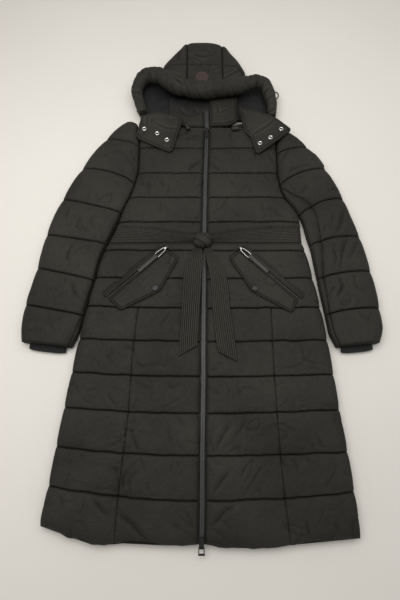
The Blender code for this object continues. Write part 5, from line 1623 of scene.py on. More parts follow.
@dataclass
class Hood:
    """Hood lying on its back: floor layer, three pieces over it, padded brim and a bare round patch."""

    base: float = 12.3
    wall: float = 13.0
    fold_radius: float = 32.0
    seams: tuple[float, ...] = (-112.0, -39.0, 68.0, 138.0)
    tops: tuple[float, ...] = (34.0, 46.0, 46.0, 34.0)
    seam_dip: float = 4.5
    cross_seam: Curve = Curve(((-112, 577), (8, 573), (138, 569)))
    cross_least: float = 0.2
    tip: Curve = Curve((
        (-125, 583), (-106, 604), (-88, 624), (-61, 655), (-40, 680), (15, 681), (72, 670), (97, 634),
        (115, 612), (129, 588), (150, 553)))
    front: Curve = Curve(((-112, 554), (-80, 528), (-40, 501), (8, 493), (67, 502), (112, 513), (138, 522)))
    roll: tuple[RollPoint, ...] = (
        RollPoint(-166, 403, 26.0, 12, 13.6), RollPoint(-181, 448, 27.8, 16, 15.4),
        RollPoint(-188, 485, 29.0, 17, 16.4), RollPoint(-178, 520, 33.0, 20, 19.5),
        RollPoint(-154, 537, 37.0, 22, 21.5), RollPoint(-126, 532, 41.0, 24, 22.5),
        RollPoint(-100, 511, 44.0, 24, 23), RollPoint(-70, 487, 47.0, 25, 24),
        RollPoint(-38, 473, 50.0, 26, 24), RollPoint(7, 467, 51.0, 26, 24),
        RollPoint(45, 469, 51.0, 26, 24), RollPoint(77, 477, 50.0, 27, 24),
        RollPoint(113, 485, 48.0, 25, 23.5), RollPoint(142, 498, 44.0, 21, 21),
        RollPoint(169, 511, 40.0, 19, 19), RollPoint(193, 506, 35.0, 19, 17.5),
        RollPoint(204, 475, 31.0, 18, 17), RollPoint(211, 432, 29.0, 16, 16),
        RollPoint(210, 388, 26.0, 12, 13.6))
    roll_steps: int = 20
    roll_sides: int = 64
    patch_centre: Place = (6.0, 520.0)
    patch_radius: float = 20.0
    back_outline: tuple[Place, ...] = (
        (-170, 392), (-190, 430), (-199, 486), (-186, 530), (-140, 566), (-124, 580), (-106, 600), (-88, 620),
        (-61, 650), (-41, 674), (15, 675), (71, 664), (96, 630), (114, 608), (128, 585), (150, 548),
        (186, 524), (205, 496), (215, 450), (216, 392))

    def __post_init__(self) -> None:
        """Set up the crown and the wrinkles."""
        self.crown = Curve(zip(self.seams, self.tops))
        self.wrinkles = Wrinkles(51, (
            Fold(((-109, 549), (-86, 539), (-53, 519)), 2.8, 5.0),
            Fold(((-91, 540), (-70, 509)), 1.8, 4.5),
            Fold(((39, 549), (62, 563)), 2.0, 4.5),
            Fold(((55, 504), (73, 520), (125, 559)), 2.4, 5.0),
            Fold(((63, 530), (102, 555)), 1.8, 5.0),
            Fold(((-20, 610), (10, 604), (44, 612)), 1.6, 6.0),
        ), lump_depth=1.4)
        self.brim_folds = (
            Fold(((-152, 530), (-145, 500), (-139, 462)), 5.0, 5.0),
            Fold(((-204, 468), (-178, 466), (-152, 461)), 5.0, 5.0),
            Fold(((-76, 494), (-50, 467)), 2.4, 5.0),
            Fold(((152, 462), (174, 500)), 3.4, 5.0),
            Fold(((172, 459), (204, 476)), 3.4, 5.0),
            Fold(((180, 436), (215, 450)), 2.8, 5.0),
            Fold(((190, 396), (222, 410)), 2.4, 5.0),
        )

    def build(self) -> None:
        """Build every piece."""
        Pad("hood_back", self.back_outline, 53, voxel=3.0, stitches=(), swell=0.0, wrinkle=0.5,
            fill=0.4, inside=Look.LINING).build()
        for name, start, end in zip(("hood_left", "hood_centre", "hood_right"), self.seams, self.seams[1:]):
            dress(self.piece(start, end).build(name + "_cloth", Look.SHELL), Look.SHELL, [name], fill=0.6)
        dress(self.brim().build("hood_brim_cloth", Look.SHELL), Look.SHELL, ["hood_brim"], fill=0.7)
        self.patch()

    def piece(self, start: float, end: float) -> Skin:
        """One of the three pieces over the head, from its far fold to the brim.

        Args:
            start: Place across of its first seam.
            end: Place across of its last seam.

        Returns:
            The surface, a padded wall round an empty hollow.
        """
        turn = 0.5 - 0.5 * np.cos(np.linspace(0.0, math.pi, 46))
        x = mix(start + GAP / 2, end - GAP / 2, mix(np.linspace(0, 1, 46), turn, 0.6))
        away = np.minimum(x - start, end - x)
        top = self.crown(x) - self.seam_dip * np.exp(-(away / 7.0)) - 1.2 * np.exp(-(away / 1.6) ** 2)
        tip, front = self.tip(x), self.front(x)
        radius = np.minimum(self.fold_radius, 0.6 * (tip - front))
        bend = tip - radius
        seam_y = np.minimum(self.cross_seam(x), mix(bend, front, self.cross_least))
        rows = []
        puff_side = 1.5 * (1.0 - np.exp(-away / 10.0)) - 1.5
        for angle in np.radians(np.linspace(0.0, 86.0, 16)):
            lift = puff_side * math.sin(2 * angle)
            height = mix(self.base, top, math.sin(angle)) + lift
            rows.append((bend + (radius + lift) * math.cos(angle), height))
        for share in np.linspace(0.0, 1.0, 42)[1:]:
            y = mix(bend, front, share)
            cross = seam_y - y
            groove = 2.2 * np.exp(-np.abs(cross) / 6.0) + 2.0 * np.exp(-(cross / 1.8) ** 2)
            pucker = self.wrinkles.at_seam(np.abs(cross), x, 3.0 + (cross > 0.0))
            relief = self.wrinkles.across(x, y) + 0.6 * self.wrinkles.at_seam(away, y, 11.0 + start)
            hold = climb(0.0, 12.0, away) * climb(0.0, 0.08, share)
            rows.append((y, top - groove * climb(0.0, 8.0, away) + (relief + pucker) * hold))
        outer = np.stack([np.stack((x, y + 0 * x, z + 0 * x), -1) for y, z in rows], axis=1)
        inner_top = self.crown(x) - self.wall - 1.5
        inner_radius = np.maximum(radius - self.wall, 2.0)
        inner = [(front, inner_top), (mix(front, bend, 0.5), inner_top), (bend, inner_top)]
        for degrees in (66, 44, 22, 0):
            angle = math.radians(degrees)
            inner.append((bend + inner_radius * math.cos(angle), mix(self.base, inner_top, math.sin(angle))))
        inside = np.stack([np.stack((x, y + 0 * x, z + 0 * x), -1) for y, z in inner], axis=1)
        rings = np.concatenate((outer, inside), axis=1)
        # Painted shade along the seams and in the creases, and painted highlight on the crests.
        seam = np.zeros(rings.shape[:2])
        upper = rings[:, :57]
        cross = np.where(np.arange(57) < 16, 99.0, upper[..., 1] - seam_y[:, None])
        sewn = np.maximum(np.exp(-(cross / 1.7) ** 2), np.exp(-(away / 2.0) ** 2)[:, None])
        seam[:, :57] = sewn + (1.0 - sewn) * self.wrinkles.shade(upper[..., 0], upper[..., 1])
        return Skin.through(rings, seam=seam, run=rings[..., 0] + rings[..., 1])

    def brim(self) -> Skin:
        """The hood's padded edge: a fat tube from flap to flap, over the forehead."""
        count = (len(self.roll) - 1) * self.roll_steps + 1
        place = np.linspace(0.0, len(self.roll) - 1.0, count)
        x, y, z, half_width, half_height = (
            Curve((i, point[column]) for i, point in enumerate(self.roll))(place) for column in range(5))
        ahead = np.stack((np.gradient(x), np.gradient(y)), -1)
        ahead /= np.linalg.norm(ahead, axis=1, keepdims=True)
        turn = 2.0 * math.pi * np.arange(self.roll_sides) / self.roll_sides
        length = np.concatenate(([0.0], np.cumsum(np.hypot(np.diff(x), np.diff(y)))))
        noise = self.wrinkles.noise
        round_about = np.cos(turn)[None, :] * 1.3
        swing = noise(length[:, None] / 34.0, 2.2 + round_about) * 1.6 + noise(length[:, None] / 15.0,
                                                                               7.7 + round_about) * 0.9
        lean = 0.4 * np.sin(turn)[None, :]
        ring_folds = 1.0 - np.abs(noise(length[:, None] / 26.0 + lean, 12.4 + 0.3 * round_about))
        creases = -2.2 * np.clip(ring_folds - 0.82, 0.0, 1.0) / 0.18
        grow = 1.0 + (swing + creases)[..., None] / 24.0
        out = np.stack((np.cos(turn), np.sin(turn)), -1)[None]
        flat = out * grow
        across = ahead[:, ::-1] * np.array([1.0, -1.0])
        points = np.empty((count, self.roll_sides, 3))
        points[..., 0] = x[:, None] + across[:, 0, None] * half_width[:, None] * flat[..., 0]
        points[..., 1] = y[:, None] + across[:, 1, None] * half_width[:, None] * flat[..., 0]
        points[..., 2] = np.maximum(z[:, None] + half_height[:, None] * flat[..., 1], self.base)
        # Painted shade in the brim's folds, and painted highlight on the crests beside them.
        upper, seam = climb(0.0, 0.5, out[..., 1]), np.zeros((count, self.roll_sides))
        for fold in self.brim_folds:
            points[..., 2] += upper * fold.relief(points[..., 0], points[..., 1])
            seam += upper * fold.shade(points[..., 0], points[..., 1])
        return Skin.through(points, seam=np.clip(seam, -0.9, 0.78),
                            run=length[:, None] + np.zeros((count, self.roll_sides)))

    def patch(self) -> None:
        """Bare round patch with a raised, overlocked edge."""
        sides = 72
        turn = 2.0 * math.pi * np.arange(sides) / sides
        bottom = max(self.tops) + GAP
        loops = []
        for share, height in ((0.0, 0.0), (1.0, 0.0), (1.02, 0.9), (0.98, 1.7), (0.93, 1.9), (0.88, 1.5),
                              (0.84, 1.1), (0.6, 1.2), (0.3, 1.3), (0.0, 1.3)):
            edge = 0.12 * np.sin(turn * 36) * (share > 0.85)
            radius = max(share, 0.001) * self.patch_radius
            loops.append(np.stack((self.patch_centre[0] + radius * np.cos(turn),
                                   self.patch_centre[1] + radius * np.sin(turn), bottom + height + edge), -1))
        item = Skin.through(np.array(loops[1:])).build("hood_patch_cloth", Look.PATCH)
        dress(item, Look.PATCH, ["hood_patch"])


LEFT_FLAP = (
    (-170, 384), (-181, 312), (-172, 300), (-88, 257), (-77, 261), (-48, 372), (-75, 390), (-127, 397))
RIGHT_FLAP = (
    (113, 420), (125, 331), (144, 306), (155, 254), (165, 251), (255, 320), (256, 329), (226, 362),
    (206, 380))
BACK_COLLAR = ((-93, 468), (-92, 412), (-78, 388), (-50, 378), (20, 376), (84, 380), (110, 392), (112, 468))
LEFT_COLLAR = (
    (11, 417), (-12, 400), (-32, 397), (-56, 405), (-88, 424), (-80, 382), (-60, 364), (-40, 358), (12, 357))
RIGHT_COLLAR = ((28, 357), (80, 358), (98, 366), (109, 376), (109, 466), (70, 466), (28, 462))
LEFT_POCKET_FLAP = (
    (-86, -40), (-57, -62), (-60, -74), (-97, -147), (-106, -156), (-190, -201), (-199, -198), (-224, -172))
RIGHT_POCKET_FLAP = (
    (102, -41), (239, -174), (228, -203), (220, -207), (137, -158), (127, -150), (80, -72), (79, -60))
LEFT_WELT = ((-89, -34), (-231, -169), (-239, -160), (-187, -112), (-144, -70), (-104, -31))
RIGHT_WELT = ((104, -34), (122, -32), (178, -86), (226, -133), (256, -164), (248, -173))
POCKET_ZIPS = {Side.LEFT: ((-84, -34), (-230, -173)), Side.RIGHT: ((100, -35), (248, -178))}
STRANDS = 3.0
STRAND_TURN = 2.4


@dataclass
class Collar:
    """The stand collar and the hood's two flaps over the shoulders."""

    def build(self) -> None:
        """Build the collar's three pieces and the two flaps."""
        pads = (
            Pad("back_collar", BACK_COLLAR, 61, voxel=2.0, stitches=(), fill=0.4, inside=Look.COLLAR_LINING,
                folds=(
                    Fold(((-62, 430), (-50, 412), (-38, 402)), 2.4, 5.0),
                    Fold(((-20, 436), (-14, 410)), 2.0, 5.0),
                    Fold(((24, 420), (4, 404)), 2.0, 5.0))),
            Pad("left_collar", LEFT_COLLAR, 62, voxel=1.4, stitches=(4.0,), fill=0.4),
            Pad("right_collar", RIGHT_COLLAR, 63, voxel=1.6, stitches=(5.0,), fill=0.4, folds=(
                Fold(((51, 432), (53, 399)), 2.2, 4.0),
                Fold(((56, 401), (82, 416)), 2.2, 4.0))),
            Pad("left_hood_flap", LEFT_FLAP, 64, voxel=1.7, stitches=(6.0,), fill=0.5, folds=(
                Fold(((-130, 356), (-95, 336), (-52, 332)), 2.4, 4.5),
                Fold(((-150, 384), (-152, 348)), 1.8, 4.5))),
            Pad("right_hood_flap", RIGHT_FLAP, 65, voxel=1.7, stitches=(6.0,), fill=0.5, folds=(
                Fold(((150, 312), (190, 340), (214, 360)), 2.4, 4.5),)),
        )
        for pad in pads:
            pad.build()


# Belt


@dataclass
class Belt:
    """The tied belt: two bands, the stretch under the back, the knot and two tails."""

    quilt: Quilt
    thickness: float = 3.0
    inner: float = 23.9
    pinch: float = 5.0
    ribs: int = 9
    rib_height: float = 1.3
    line_width: float = 0.22
    # Painted shade along the lines between ribs, and painted highlight on the ribs.
    line_shade: float = 0.75
    crest_light: float = 0.5
    rib_points: int = 6
    turn: float = 24.0
    wrap: tuple[Place, ...] = ((-26, 3.0), (-8.2, 3.0), (-1.0, 6.0), (0.8, 10), (0.8, 19.8), (-2.6, 24.1))
    left_band: tuple[Spot, ...] = (
        (-240, 27, -18), (-177, 24, -18), (-122, 18, -17), (-78, 9, -16), (-34, -1, -16), (-8, -6, -18))
    right_band: tuple[Spot, ...] = (
        (280, 26, -17), (188, 21, -18), (115, 15, -18), (78, 10, -17), (46, 0, -17), (22, -6, -18))
    left_tail: tuple[tuple[Place, Place, float], ...] = (
        ((-14, -36), (5, -38), 30.0), ((-33, -64), (6, -62), 33.8), ((-41, -116), (4, -112), 33.8),
        ((-45, -208), (-1, -204), 33.8), ((-48, -270), (-4, -256), 33.8), ((-49, -316), (-6, -291), 33.8))
    right_tail: tuple[tuple[Place, Place, float], ...] = (
        ((11, -38), (27, -34), 30.0), ((16, -70), (45, -62), 33.8), ((25, -116), (65, -112), 33.8),
        ((31, -208), (74, -204), 33.8), ((37, -272), (82, -272), 33.8), ((43, -306), (87, -329), 33.8))

    def __post_init__(self) -> None:
        """Set up the noise."""
        self.noise = Noise(71)

    def build(self) -> None:
        """Build every piece."""
        self.band(Side.LEFT, self.left_band)
        self.band(Side.RIGHT, self.right_band)
        self.tail("belt_left_tail", self.left_tail, 1.0)
        self.tail("belt_right_tail", self.right_tail, 5.0)
        self.back()
        self.knot()

    def strap(self, first: Floats, second: Floats, out: Floats) -> Skin:
        """Stitched strap between two edges.

        Args:
            first: Points of one edge.
            second: Points of the other edge.
            out: Outward direction at each row.

        Returns:
            The surface.
        """
        count = self.ribs * self.rib_points + 1
        share = np.linspace(0.0, 1.0, count)
        phase = share * self.ribs
        rib = np.abs(np.sin(math.pi * phase)) ** 0.6 * self.rib_height
        steps = np.linalg.norm(np.diff((first + second) / 2, axis=0), axis=1)
        length = np.concatenate(([0.0], np.cumsum(steps)))
        slack = 0.35 * self.noise(length[:, None] / 9.0, phase[None, :] * 1.7)
        rise = self.thickness - self.rib_height + rib[None, :] * (1.0 + slack)
        top = mix(first[:, None], second[:, None], share[None, :, None]) + out[:, None] * rise[..., None]
        edge = np.exp(-(np.minimum(phase, self.ribs - phase) / 0.25))
        top -= out[:, None] * (0.8 * edge)[None, :, None]
        low = mix(first[:, None], second[:, None], np.array([1.0, 0.66, 0.33, 0.0])[None, :, None])
        rings = np.concatenate((top, low), axis=1)
        # Painted shade in the lines between ribs, and painted highlight on the ribs between them.
        line = np.exp(-((phase - np.round(phase)) / self.line_width) ** 2)
        fade = 1.0 + 0.3 * self.noise(length[:, None] / 21.0, phase[None, :] * 0.9)
        rib_painted_light = (self.line_shade * line - self.crest_light * (1.0 - line))[None, :] * fade
        seam = np.hstack((np.clip(rib_painted_light, -1.0, 0.95), np.zeros((len(first), 4))))
        return Skin.through(rings, seam=seam, run=np.tile(length[:, None], (1, rings.shape[1])))

    def band(self, side: Side, table: tuple[Spot, ...]) -> None:
        """Front half of the belt: from under the back, round the side edge, across to the knot."""
        sign = side.value
        upper, lower = (Curve((row[0], row[column]) for row in table) for column in (1, 2))
        edge = float(self.quilt.edge(side, table[0][1])) - sign * self.pinch
        low_edge = float(self.quilt.edge(side, table[0][2])) - sign * self.pinch
        corners = []
        for outer in (edge, low_edge):
            spine = [(outer + sign * out, z) for out, z in self.wrap]
            start = outer - sign * self.turn
            spine += [(mix(start, table[-1][0], step / 30), self.inner) for step in range(31)]
            corners.append(self.rounded(np.array(spine)))
        first, second = (np.stack((line[:, 0], curve(line[:, 0]), line[:, 1]), -1)
                         for line, curve in zip(corners, (upper, lower)))
        middle = (first + second) / 2
        way = np.gradient(middle, axis=0)
        way /= np.linalg.norm(way, axis=1, keepdims=True)
        out = np.stack((-way[:, 2], 0 * way[:, 0], way[:, 0]), -1) * -sign
        name = f"belt_{side.word}_band"
        item = self.strap(first, second, out).build(name + "_cloth", Look.SHELL)
        dress(item, Look.SHELL, [name], fill=0.15)

    def back(self) -> None:
        """The belt's stretch between the coat's back and the floor, between the ends of the bands."""
        ends = []
        for side, table in ((Side.LEFT, self.left_band), (Side.RIGHT, self.right_band)):
            sign = side.value
            x = [float(self.quilt.edge(side, table[0][column])) - sign * (self.pinch - self.wrap[0][0] + GAP)
                 for column in (1, 2)]
            ends.append(((x[0], table[0][1]), (x[1], table[0][2])))
        share = np.linspace(0.0, 1.0, 120)[:, None]
        level = np.full((120, 1), self.thickness)
        first, second = (np.hstack((mix(np.array([ends[0][edge]]), np.array([ends[1][edge]]), share), level))
                         for edge in (0, 1))
        down = np.tile(np.array([0.0, 0.0, -1.0]), (120, 1))
        skin = self.strap(first, second, down)
        skin.points[:, 2] = np.maximum(skin.points[:, 2], 0.05)
        item = skin.build("belt_back_cloth", Look.SHELL)
        dress(item, Look.SHELL, ["belt_back"], fill=0.15)

    @staticmethod
    def rounded(spine: Floats) -> Floats:
        """Line with its corners cut round, its ends kept."""
        for _ in range(2):
            early, late = mix(spine[:-1], spine[1:], 0.25), mix(spine[:-1], spine[1:], 0.75)
            inner = np.stack((early, late), axis=1).reshape(-1, 2)
            spine = np.vstack((spine[:1], inner[1:-1], spine[-1:]))
        return spine

    def tail(self, name: str, table: tuple[tuple[Place, Place, float], ...], seed: float) -> None:
        """One hanging end of the belt, its end cut on a slant."""
        place = np.linspace(0.0, len(table) - 1.0, 90)
        columns = [Curve((i, value) for i, value in enumerate(values)) for values in (
            [row[0][0] for row in table], [row[0][1] for row in table], [row[1][0] for row in table],
            [row[1][1] for row in table], [row[2] for row in table])]
        left_x, left_y, right_x, right_y, base = (column(place) for column in columns)
        wave = 0.7 * self.noise(left_y / 45.0, seed) * climb(0.3, 1.2, place)
        first = np.stack((left_x + 0.5 * wave, left_y, base + np.maximum(wave, -0.2) + 0.3), -1)
        second = np.stack((right_x + 0.5 * wave, right_y, base + np.maximum(-wave, -0.2) + 0.3), -1)
        out = np.tile(np.array([0.0, 0.0, 1.0]), (len(place), 1))
        item = self.strap(first, second, out).build(name + "_cloth", Look.SHELL)
        dress(item, Look.SHELL, [name], fill=0.15)

    def knot(self) -> None:
        """The belt's knot, with the strap's ribs turned over it."""
        skin = remeshed("belt_knot", 1.5, 4)
        points, out = skin.points, normals(skin)
        slant = (points[:, 0] - 7.0) * 0.55 + (points[:, 1] + 16.0) * 0.83
        bend = 2.0 * self.noise(points[:, 0] / 20.0, points[:, 1] / 20.0)
        phase = (slant + bend) / 4.6
        line = np.abs(np.sin(math.pi * phase))
        lift = 0.9 * line ** 0.6 - 0.6
        gap = np.exp(-((slant - 9.0) / 1.6) ** 2) + np.exp(-((slant + 12.0) / 1.6) ** 2)
        skin.points = points + out * (lift - 2.0 * gap)[:, None]
        # Painted shade in the grooves between the turned ribs and in the gaps, and painted highlight on the
        # ribs.
        shade = np.exp(-(line / 0.3) ** 2)
        skin.values = {"seam": np.clip(1.1 * shade - 0.35 + gap, -1.0, 1.0), "run": points[:, 0]}
        dress(skin.build("belt_knot_cloth", Look.SHELL), Look.SHELL, ["belt_knot"], fill=0.5)


# Pockets, zips and trim


@dataclass
class Pockets:
    """Two slanted pockets: flap, welt and zip."""

    def build(self) -> None:
        """Build the flap, the welt and the zip of both pockets."""
        outlines = ((Side.LEFT, LEFT_POCKET_FLAP, LEFT_WELT), (Side.RIGHT, RIGHT_POCKET_FLAP, RIGHT_WELT))
        for side, flap, welt in outlines:
            Pad(side.word + "_pocket_flap", flap, 80, voxel=1.2, stitches=(4.4,), stitch_depth=2.1, swell=0.3,
                wrinkle=0.5, fill=0.2).build()
            Pad(side.word + "_pocket_welt", welt, 82, voxel=1.2, stitches=(3.2,), stitch_depth=0.9, swell=0.2,
                wrinkle=0.4, fill=0.2).build()
            PocketZip(side, *POCKET_ZIPS[side]).build()


def corners_cut(path: Floats, closed: bool = False, times: int = 3) -> Floats:
    """Path whose corners are cut several times over, so that it runs round them.

    Args:
        path: Points of the path.
        closed: Whether the path's end joins its start.
        times: How often the corners are cut.

    Returns:
        The longer path.
    """
    for _ in range(times):
        after = np.roll(path, -1, axis=0)
        cut = np.stack((mix(path, after, 0.25), mix(path, after, 0.75)), axis=1).reshape(-1, 3)
        path = cut if closed else np.vstack((path[:1], cut[1:-3], path[-1:]))
    return path


def tube(path: Floats, radius: Place, axis: Spot, sides: int = 16, closed: bool = False,
         twist: float = 0.0) -> Skin:
    """Round surface along a path.

    Args:
        path: Points of the path.
        radius: Half its width across the axis, and half its height along it.
        axis: Direction that its height takes.
        sides: Points round it.
        closed: Whether the path's end joins its start.
        twist: Depth of the ridges that wind round it.

    Returns:
        The surface.
    """
    if closed:
        way = np.roll(path, -1, axis=0) - np.roll(path, 1, axis=0)
    else:
        way = np.gradient(path, axis=0)
    step = np.linalg.norm(way, axis=1, keepdims=True)
    across = np.cross(way / step, np.array(axis))
    across /= np.linalg.norm(across, axis=1, keepdims=True)
    up = np.cross(across, way / step)
    turn = 2.0 * math.pi * np.arange(sides) / sides
    run = np.cumsum(step) / 2.0
    ridge = 1.0 + twist * np.sin(STRANDS * turn[None, :] + run[:, None] * STRAND_TURN)
    rings = (path[:, None] + radius[0] * (np.cos(turn) * ridge)[..., None] * across[:, None]
             + radius[1] * (np.sin(turn) * ridge)[..., None] * up[:, None])
    return Skin.through(rings, closed=closed)


@dataclass
class ZipTape:
    """One side of the main zip: satin tape whose coil runs along the middle."""

    side: Side
    quilt: Quilt
    base: float = 16.7
    ends: Place = (-702.0, 414.0)
    climbs: Place = (335.0, 372.0)
    climb_rise: float = 4.6
    flat: Place = (0.010, 1.116)
    area: float = 0.0103
    # Places out from the middle, heights over the base, and painted shade: a faint line at the middle and a
    # painted shadow where the tape meets the cloth.
    profile: tuple[Spot, ...] = (
        (0.15, 2.0, 0.2), (0.5, 2.15, 0.0), (1.3, 2.3, 0.0), (2.8, 2.25, 0.0), (4.3, 2.3, 0.0),
        (5.0, 1.9, 0.4), (5.6, 1.2, 0.78), (7.7, 0.9, 0.78))

    def build(self) -> None:
        """Build the tape."""
        noise, sign = self.quilt.wander, self.side.value
        y = np.linspace(self.ends[1], self.ends[0], 420)[:, None]
        out, up, shade = (np.array(column) for column in zip(*self.profile))
        middle = self.quilt.zip_line(y) + 0.7 * noise(y / 60.0, 90.5)
        wave = 0.35 * noise(y / 26.0, 93.1 + sign * 2.0) * climb(0.0, 3.0, out)
        low = self.base + self.climb_rise * climb(*self.climbs, y)
        top = np.stack((middle + sign * out, y + 0.0 * out, low + up + wave), -1)
        under = np.stack((middle + sign * out[[-1, 0]], y + np.zeros(2), low + np.zeros(2)), -1)
        rings = np.concatenate((top, under), axis=1)
        seam = np.tile(np.append(shade, (0.78, 0.78)), (len(y), 1))
        name = f"zip_{self.side.word}_tape"
        item = dress(Skin.through(rings, seam=seam).build(name + "_cloth", Look.TAPE), Look.TAPE, [name])


@dataclass
class PocketZip:
    """A pocket's closed zip, and its pull: a wire ring with a satin grip."""

    side: Side
    start: Place
    end: Place
    base: float = 27.1
    hinge: Spot = (4.0, 0.0, 35.7)
    droop: float = 2.0
    ring: Place = (4.3, 33.0)
    ring_half: Place = (3.4, 6.0)
    wire: float = 0.8
    neck: Place = (0.7, 4.8)
    neck_half: Place = (1.8, 0.6)
    barrel: float = 1.75
    barrel_thick: float = 0.9
    tooth_pitch: float = 1.6
    tooth_depth: float = 0.22
    clamp_more: float = 0.5
    groove: float = 0.25
    groove_share: float = 0.74
    slab_end: float = 0.6
    slab_inner: float = 2.0
    slab_taper: float = 0.8
    slab_steps: int = 24
    # Shares along the ring, how far that moves in millimetres, and shares across it.
    ring_corners: tuple[Spot, ...] = (
        (0.0, 0.0, -0.7), (0.0, 1.2, -1.0), (0.5, 0.0, -1.0), (1.0, -1.4, -1.0), (1.0, 0.0, -0.7),
        (1.0, 0.0, 0.7), (1.0, -1.4, 1.0), (0.5, 0.0, 1.0), (0.0, 1.2, 1.0), (0.0, 0.0, 0.7))
    grip: Place = (31.0, 92.0)
    grip_half: Place = (5.0, 1.3)
    clamp: Place = (90.0, 94.0)
    # Places across, heights over the base, and painted shade, darkest at the edges where the zip meets the
    # cloth.
    profile: tuple[Spot, ...] = (
        (-2.2, 1.1, 0.78), (-1.6, 1.9, 0.5), (-0.9, 2.5, 0.0), (0.0, 2.8, 0.0), (0.9, 2.5, 0.0),
        (1.6, 1.9, 0.5), (2.2, 1.1, 0.78))

    def build(self) -> None:
        """Build the zip and its pull."""
        way = np.array(self.end, float) - np.array(self.start, float)
        self.length = float(np.hypot(*way))
        self.way = way / self.length
        self.chain()
        self.pull()

    def at(self, forward: Value, out: Value, up: Value) -> Floats:
        """Points at distances along the zip, across it and up."""
        forward, out, up = np.broadcast_arrays(forward, out, up)
        x = self.start[0] + forward * self.way[0] - out * self.way[1]
        y = self.start[1] + forward * self.way[1] + out * self.way[0]
        return np.stack((x, y, up), -1)

    def chain(self) -> None:
        """The coil on its narrow tape."""
        along = np.linspace(0.0, self.length, 500)[:, None]
        out, up, shade = (np.array(column) for column in zip(*self.profile))
        wave = np.sin(along * 2.0 * math.pi / self.tooth_pitch)
        teeth = self.tooth_depth * wave * (np.abs(out) < 1.0)
        top = self.at(along, out, self.base + up + teeth)
        under = self.at(along, out[[-1, 0]], self.base)
        seam = np.tile(np.append(shade, (0.78, 0.78)), (len(along), 1))
        skin = Skin.through(np.concatenate((top, under), axis=1), seam=seam)
        name = self.side.word + "_pocket_zip"
        dress(skin.build(name + "_coil", Look.TAPE), Look.TAPE, [name])

    def pull(self) -> None:
        """The ring and the grip, which swing on the slider."""
        near, far = self.ring
        corners = np.array([(mix(near, far, share) + shift, out) for share, shift, out in self.ring_corners])
        half = mix(self.ring_half[0], self.ring_half[1], climb(near, far * 0.6, corners[:, 0]))
        spine = corners_cut(self.hung(corners[:, 0], corners[:, 1] * half, 0.0), closed=True)
        wire = tube(spine, (self.wire, self.wire), UP, 12, closed=True)
        grip = self.slab(self.grip, self.grip_half, self.groove)
        clamp_half = (self.grip_half[0] + self.clamp_more, self.grip_half[1] + self.clamp_more)
        clamp = self.slab(self.clamp, clamp_half, 0.0)
        neck = self.slab(self.neck, self.neck_half, 0.0)
        pin = self.hung(np.zeros(2), np.array([-self.barrel, self.barrel]), 0.0)
        barrel = tube(pin, (self.barrel_thick, self.barrel_thick), UP)
        cloth = len(grip.points) + len(clamp.points)
        whole = grip.joined(clamp).joined(wire).joined(neck).joined(barrel)
        silver = (np.arange(len(whole.points)) >= cloth).astype(float)
        name = self.side.word + "_pocket_pull"
        item = whole.build(name + "_metal", Look.GRIP, lining=silver, inside=Look.SILVER)
        body = Body.LEFT_POCKET_PULL if self.side is Side.LEFT else Body.RIGHT_POCKET_PULL
        dress(item, Look.BLACK_METAL, [name], body)

    def hung(self, forward: Value, out: Value, up: Value) -> Floats:
        """Points on the pull, which droops from its hinge.

        Args:
            forward: Distances from the hinge along the pull.
            out: Distances across it.
            up: Heights over its middle.

        Returns:
            The points.
        """
        forward = np.asarray(forward, float)
        drop = math.tan(math.radians(self.droop)) * forward
        return self.at(self.hinge[0] + forward, out, self.hinge[2] - drop + up)

    def slab(self, span: Place, half: Place, groove: float) -> Skin:
        """Flat bar with rounded edges along the pull.

        Args:
            span: Where it starts and ends along the pull.
            half: Half its width and half its height.
            groove: Depth of the groove near each edge, as a share of half its height.

        Returns:
            The surface.
        """
        near, far = span
        middle = np.linspace(near + self.slab_inner, far - self.slab_inner, self.slab_steps)
        forward = np.array([near, near + self.slab_end, *middle, far - self.slab_end, far])[:, None]
        end = np.minimum(climb(near - self.slab_taper, near + self.slab_end, forward),
                         climb(far + self.slab_taper, far - self.slab_end, forward))
        shares = np.array([-0.9, -self.groove_share, -0.6, 0.6, self.groove_share, 0.9])
        top = 1.0 - groove * (np.abs(np.abs(shares) - self.groove_share) < 0.01)
        out = np.concatenate(([-1.0], shares, [1.0, 1.0], shares[::-1], [-1.0]))
        up = np.concatenate(([0.5], top, [0.5, -0.5], -np.ones(len(shares)), [-0.5]))
        across = half[0] * out * mix(0.9, 1.0, end)
        return Skin.through(self.hung(forward + 0.0 * out, across, half[1] * up * end))


@dataclass
class ThreadLoop:
    """Twisted thread loop that holds the belt near the right side seam."""

    x: float = 257.2
    # Places up the coat, and heights.
    path: tuple[Place, ...] = (
        (-26.0, 24.4), (-25.0, 27.0), (-20.0, 28.0), (1.0, 28.2), (22.0, 28.0), (27.2, 27.0), (28.0, 24.4))
    radius: Place = (1.1, 0.6)
    twist: float = 0.12

    def build(self) -> None:
        """Build the loop."""
        corners = np.array([(self.x, y, z) for y, z in self.path])
        skin = tube(corners_cut(corners), self.radius, ACROSS, twist=self.twist)
        dress(skin.build("belt_loop_thread", Look.SHELL), Look.SHELL, ["belt_loop"])


@dataclass
class CordLoop:
    """Elastic loop of the hood's cord, at the right side of the brim."""

    centre: Spot = (223.2, 471.0, 26.0)
    reach: Place = (11.0, 12.8)
    sweep: Place = (-80.0, 100.0)
    radius: float = 1.8
    twist: float = 0.07
    steps: int = 60

    def build(self) -> None:
        """Build the loop."""
        turn = np.radians(np.linspace(self.sweep[0], self.sweep[1], self.steps))
        x = self.centre[0] + self.reach[0] * np.cos(turn)
        y = self.centre[1] + self.reach[1] * np.sin(turn)
        path = np.stack((x, y, np.full(self.steps, self.centre[2])), -1)
        skin = tube(path, (self.radius, self.radius), UP, twist=self.twist)
        dress(skin.build("cord_loop_elastic", Look.CORD), Look.CORD, ["cord_loop"])


